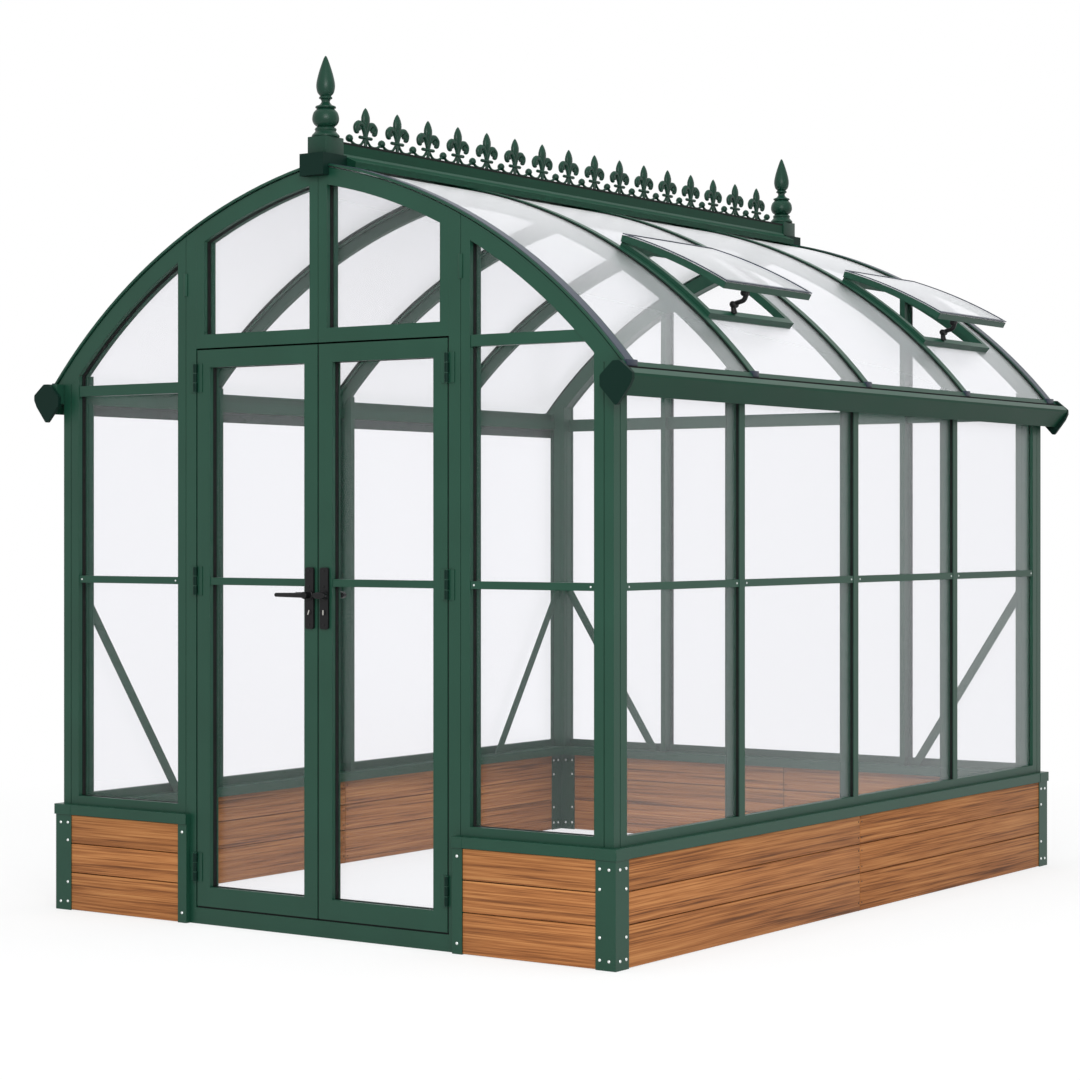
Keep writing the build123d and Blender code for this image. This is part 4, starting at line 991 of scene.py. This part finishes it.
leg_shares = ((0.05, 0.26), (0.14, 0.16), (0.32, 0.06), (0.56, 0.042), (0.78, 0.075), (0.96, 0.15))
leg_radii = (0.0052, 0.005, 0.0046, 0.0046, 0.0048, 0.0055)
knob_rise = 0.175
knob_profile = ((0.003, -0.013), (0.0085, -0.0105), (0.0125, -0.005), (0.0138, 0), (0.0118, 0.0065),
                (0.007, 0.0115), (0, 0.0142))
across_ridge = (1, 0, 0)


def crest_spot(middle, across, up):
    """Point of one fleur: shares of half the pitch from its stem and of its height."""
    return Vector((0, middle + across * half_pitch, crest_low.z + up * crest_height))


mesh = bmesh.new()
for step in range(crest_count):
    middle = crest_low.y + knob_radius + half_pitch * (2 * step + 1)
    spear = [crest_spot(middle, 0, up) for up in spear_rises]
    add_tube(mesh, spear, spear_radii, across_ridge, flatness=0.62, sides=14)
    add_tube(mesh, [crest_spot(middle, 0, up) for up in stem_rises], stem_radii, across_ridge)
    waist = [crest_spot(middle, across, waist_rise) for across in waist_reaches]
    add_tube(mesh, waist, waist_radii, across_ridge, flatness=1.1)
    for side in (-1, 1):
        curl = smooth_path([crest_spot(middle, side * across, up) for across, up in curl_shares])
        add_tube(mesh, curl, curl_radii, across_ridge, flatness=0.95, sides=12)
        add_lathe(mesh, eye_profile, crest_spot(middle, side * eye_reach, eye_rise), across_ridge)
        leg = smooth_path([crest_spot(middle, side * across, up) for across, up in leg_shares])
        add_tube(mesh, leg, leg_radii, across_ridge)
for step in range(crest_count + 1):
    knob = crest_spot(crest_low.y + knob_radius + 2 * half_pitch * step, 0, knob_rise)
    add_lathe(mesh, knob_profile, knob, upright, sides=14)
cresting = finished_piece("cast_cresting", mesh, cast_green, "greenhouse", smooth_angle=50)
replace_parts(cresting, "ridge_cresting")


# Glass: clear 4 mm toughened sheets held by the bars, as a faint cool veil that grows at a glancing angle.
# It gives the eye a nearly clear sheet with a pale sheen of the bright surroundings.
def glass_material():
    """Clear glass: mostly see-through face on, paler towards a glancing angle."""
    veil_face_on = 0.04
    veil_rise = 0.9
    veil_sharpness = 4.0
    veil_for_light = 0.02
    material = new_material("clear toughened glass")
    glancing = add_node(material, "ShaderNodeLayerWeight", {"Blend": 0.5})
    rising = add_node(material, "ShaderNodeMath", {"operation": "POWER", 1: veil_sharpness},
                      {0: glancing.outputs["Facing"]})
    veil = add_node(material, "ShaderNodeMath", {"operation": "MULTIPLY_ADD", 1: veil_rise, 2: veil_face_on},
                    {0: rising.outputs["Value"]})
    rays = add_node(material, "ShaderNodeLightPath")
    lit_through = add_node(material, "ShaderNodeMath", {"operation": "MAXIMUM"},
                           {0: rays.outputs["Is Shadow Ray"], 1: rays.outputs["Is Diffuse Ray"]})
    share = add_node(material, "ShaderNodeMix", {"data_type": "FLOAT", 3: veil_for_light},
                     {"Factor": lit_through.outputs["Value"], 2: veil.outputs["Value"]})
    clear = add_node(material, "ShaderNodeBsdfTransparent", {"Color": linear("#FEFEFF")})
    shine = add_node(material, "ShaderNodeBsdfGlossy", {"Color": linear("#FAFBFD"), "Roughness": 0.4})
    sheet = add_node(material, "ShaderNodeMixShader", {},
                     {0: share.outputs[0], 1: clear.outputs["BSDF"], 2: shine.outputs["BSDF"]})
    add_node(material, "ShaderNodeOutputMaterial", {}, {"Surface": sheet.outputs["Shader"]})
    return material


glass = glass_material()
finish_nodes(("side_wall_panes", "front_gable_panes", "back_gable_panes", "roof_panes", "left_door_pane",
              "right_door_pane"), glass)
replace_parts(finished_piece("vent_glass_sheets", sheets, glass, "greenhouse"), "vent_panes")


# Door seals: brush strips between the leaves, at the hinges and at the foot, and a stop at the head.
# Black pile in a carrier, drawn with the gaskets' matt rubber: a plain black line between the green stiles.
leaf_low, leaf_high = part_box("right_door_frame")
pile_back = 0.004
pile_depth = 0.012
pile_ease = 0.0002
pile_y = (leaf_low.y + pile_back, leaf_low.y + pile_back + pile_depth)
meeting_reach = leaf_low.x - pile_ease / 2
hinge_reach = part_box("fanlight_frames")[1].x - leaf_high.x - pile_ease
foot_reach = leaf_low.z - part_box("door_threshold")[1].z - 2 * pile_ease
for body, side in leaves:
    mesh = bmesh.new()
    for edge, reach in ((leaf_low.x, -meeting_reach), (leaf_high.x, hinge_reach)):
        add_block(mesh, ((side * edge, side * (edge + reach)), pile_y, (leaf_low.z, leaf_high.z)), pile_ease)
    add_block(mesh, ((side * leaf_low.x, side * leaf_high.x), pile_y, (leaf_low.z - foot_reach, leaf_low.z)),
              pile_ease)
    finished_piece(body + "_seals", mesh, rubber, body)
stop_gap = 0.001
stop_start = leaf_high.y + stop_gap
stop_depth = 0.01
stop_reaches = (-0.012, 0.007)
stop_easing = 0.001
mesh = bmesh.new()
add_block(mesh, ((-leaf_high.x, leaf_high.x), (stop_start, stop_start + stop_depth),
                 [leaf_high.z + reach for reach in stop_reaches]), stop_easing)
finished_piece("door_head_stop", mesh, rubber, "greenhouse")


# Joint fillers: strips in the open joints of the front gable, between fanlights and beside the door posts.
# The same rubber as the gaskets, pressed in to the middle of the bars: no daylight through the joints.
def nearest_edge(node):
    """Distance from the middle of the building to the nearest solid of a node, across the front."""
    return min(abs(edge) for low, high in solid_spans(node) for edge in (low.x, high.x))


fan_low, fan_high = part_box("fanlight_frames")
panel_low, panel_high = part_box("side_panel_frames")
fan_gap = 2 * nearest_edge("fanlight_frames")
panel_gap = nearest_edge("side_panel_frames") - post_high.x
panel_joint = post_high.x + panel_gap / 2
filler_depths = (0.02, 0.035)
filler_y = [front_face + depth for depth in filler_depths]
arch_margin = 0.012
mesh = bmesh.new()
for middle, gap, foot, head in ((0, fan_gap, fan_low.z, fan_high.z),
                                (panel_joint, panel_gap, panel_low.z, panel_high.z),
                                (-panel_joint, panel_gap, panel_low.z, panel_high.z)):
    half = gap / 2 - pile_ease / 2
    add_block(mesh, ((middle - half, middle + half), filler_y, (foot, head - arch_margin)), pile_ease)
finished_piece("joint_fillers", mesh, rubber, "greenhouse")


# Door furniture: plates and levers on both faces, screwed through the stile, with key cylinders and keys.
# Die-cast zinc with a satin black coat: a soft charcoal black with broad highlights on the round levers.
# The keys are brushed nickel, small pale marks.
finish_nodes(("left_handle_plates", "right_handle_plates", "left_door_lever", "right_door_lever"), black_coat)
nickel = plain_metal("brushed nickel", "#C9C6BF", roughness=0.3)
cylinder_profile = ((0.0085, head_seat), (0.0085, 0.0016), (0.0075, 0.0024), (0, 0.0024))
plate_screw_profile = ((0.0042, head_seat), (0.0042, 0.0008), (0.003, 0.0016), (0, 0.0017))
rose_profile = ((0.0165, head_seat), (0.0165, 0.0025), (0.0145, 0.0045), (0.0128, 0.0048))
key_drop = 0.058
key_half_width = 0.0022
key_half_height = 0.0085
key_reaches = (0.001, 0.0042)
key_easing = 0.0009
left_key_turn = math.radians(20)
top_screw_inset = 0.012
rose_screw_rise = 0.03
foot_screw_inset = 0.014
for body, side in leaves:
    plates_low, plates_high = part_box(body.replace("door", "handle_plates"))
    centre_x = (plates_low.x + plates_high.x) / 2
    lever_low, lever_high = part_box(body + "_lever")
    lever_z = (lever_low.z + lever_high.z) / 2
    key_z = lever_z - key_drop
    key_lean = Matrix.Rotation(left_key_turn if side < 0 else 0, 4, "Y")
    screw_heights = (plates_high.z - top_screw_inset, lever_z + rose_screw_rise,
                     plates_low.z + foot_screw_inset)
    keys = bmesh.new()
    fixings = bmesh.new()
    for face, way in ((plates_low.y, -1), (plates_high.y, 1)):
        facing = (0, way, 0)
        cylinder = Vector((centre_x, face, key_z))
        add_lathe(fixings, cylinder_profile, cylinder, facing, sides=24)
        key = add_block(keys, ((centre_x - key_half_width, centre_x + key_half_width),
                               [face + way * reach for reach in key_reaches],
                               (key_z - key_half_height, key_z + key_half_height)), key_easing, segments=2)
        corners = list({vert for piece in key for vert in piece.verts})
        bmesh.ops.rotate(keys, cent=cylinder, matrix=key_lean, verts=corners)
        for height in screw_heights:
            add_lathe(fixings, plate_screw_profile, (centre_x, face, height), facing, sides=14)
        add_lathe(fixings, rose_profile, (centre_x, face, lever_z), facing, sides=28)
    finished_piece(body + "_keys", keys, nickel, body)
    finished_piece(body + "_plate_screws", fixings, black_coat, body)


# Stage: a plain pale floor that fades into a white room, a large overhead lamp and one from the front.
# The floor is matt and keeps the building's soft shadow. The overhead lamp is kept out of reflections, or it
# would show as a patch on the roof glass.
def seen_share(owner):
    """One for rays that see the stage, also in a gloss or through glass, zero for those that gather light."""
    rays = add_node(owner, "ShaderNodeLightPath")
    seen = add_node(owner, "ShaderNodeMath", {"operation": "MAXIMUM"},
                    {0: rays.outputs["Is Camera Ray"], 1: rays.outputs["Is Glossy Ray"]})
    seen_through = add_node(owner, "ShaderNodeMath", {"operation": "MAXIMUM"},
                            {0: seen.outputs["Value"], 1: rays.outputs["Is Transmission Ray"]})
    return seen_through.outputs["Value"]


def stage_floor():
    """Pale floor that shows white away from the building."""
    floor_half = 60
    floor_drop = 0.001
    fade_start = 2.0
    fade_end = 5.0
    glow_near = 0.72
    material = new_material("pale studio floor")
    place = add_node(material, "ShaderNodeTexCoord").outputs["Object"]
    distance = add_node(material, "ShaderNodeVectorMath", {"operation": "LENGTH"}, {0: place})
    fade = add_node(material, "ShaderNodeMapRange",
                    {"From Min": fade_start, "From Max": fade_end, "To Min": glow_near, "To Max": 1.0},
                    {"Value": distance.outputs["Value"]})
    matt = add_node(material, "ShaderNodeBsdfDiffuse", {"Color": linear("#F2F3F3")})
    glow = add_node(material, "ShaderNodeEmission", {"Color": linear("#FFFFFF"), "Strength": 1.0})
    part_glow = add_node(material, "ShaderNodeMath", {"operation": "MULTIPLY"},
                         {0: seen_share(material), 1: fade.outputs["Result"]})
    mixed = add_node(material, "ShaderNodeMixShader", {},
                     {0: part_glow.outputs["Value"], 1: matt.outputs["BSDF"], 2: glow.outputs["Emission"]})
    add_node(material, "ShaderNodeOutputMaterial", {}, {"Surface": mixed.outputs["Shader"]})
    mesh = bmesh.new()
    bmesh.ops.create_grid(mesh, x_segments=1, y_segments=1, size=floor_half)
    data = bpy.data.meshes.new("studio_floor")
    mesh.to_mesh(data)
    mesh.free()
    data.materials.append(material)
    floor = bpy.data.objects.new("studio_floor", data)
    floor.location.z = -floor_drop
    bpy.context.scene.collection.objects.link(floor)


stage_floor()
world = bpy.data.worlds.new("white room")
bpy.context.scene.world = world
world.use_nodes = True
world.node_tree.nodes.clear()
room_strength = add_node(world, "ShaderNodeMapRange", {"To Min": 0.6, "To Max": 1.0},
                         {"Value": seen_share(world)})
room_light = add_node(world, "ShaderNodeBackground", {"Color": linear("#FFFFFF")},
                      {"Strength": room_strength.outputs["Result"]})
add_node(world, "ShaderNodeOutputWorld", {}, {"Surface": room_light.outputs["Background"]})


def soft_lamp(name, place, size, power):
    """Large square lamp turned towards the middle of the building."""
    target = Vector((0, 0, cad_box[1][2] / 2))
    lamp = bpy.data.lights.new(name, "AREA")
    lamp.size = size
    lamp.energy = power
    holder = bpy.data.objects.new(name, lamp)
    holder.location = place
    holder.rotation_euler = (target - Vector(place)).to_track_quat("-Z", "Y").to_euler()
    bpy.context.scene.collection.objects.link(holder)
    return holder


overhead = soft_lamp("overhead_softbox", place=(0.5, -0.5, 7.5), size=6, power=330)
overhead.visible_glossy = False
soft_lamp("front_softbox", place=(5.5, -7.5, 4.5), size=4, power=420)


# Camera: where the photograph was taken from, level, with a long lens.
# Its place and lens come from lining up the corners of the building with the photograph.
image_width = 1080
focal_pixels = 2659.1
centre_column = 567.44
horizon_row = 526.98
sensor = 36
camera_place = (5.798, -8.4955, 1.3857)
camera_turn = 34.619
camera_data = bpy.data.cameras.new("camera")
camera_data.sensor_width = sensor
camera_data.lens = focal_pixels / image_width * sensor
camera_data.shift_x = (image_width / 2 - centre_column) / image_width
camera_data.shift_y = (horizon_row - image_width / 2) / image_width
camera_data.clip_end = 200
camera = bpy.data.objects.new("camera", camera_data)
camera.location = camera_place
camera.rotation_euler = (math.radians(90), 0, math.radians(camera_turn))
bpy.context.scene.collection.objects.link(camera)
bpy.context.scene.camera = camera
bpy.context.scene.view_settings.view_transform = "Standard"
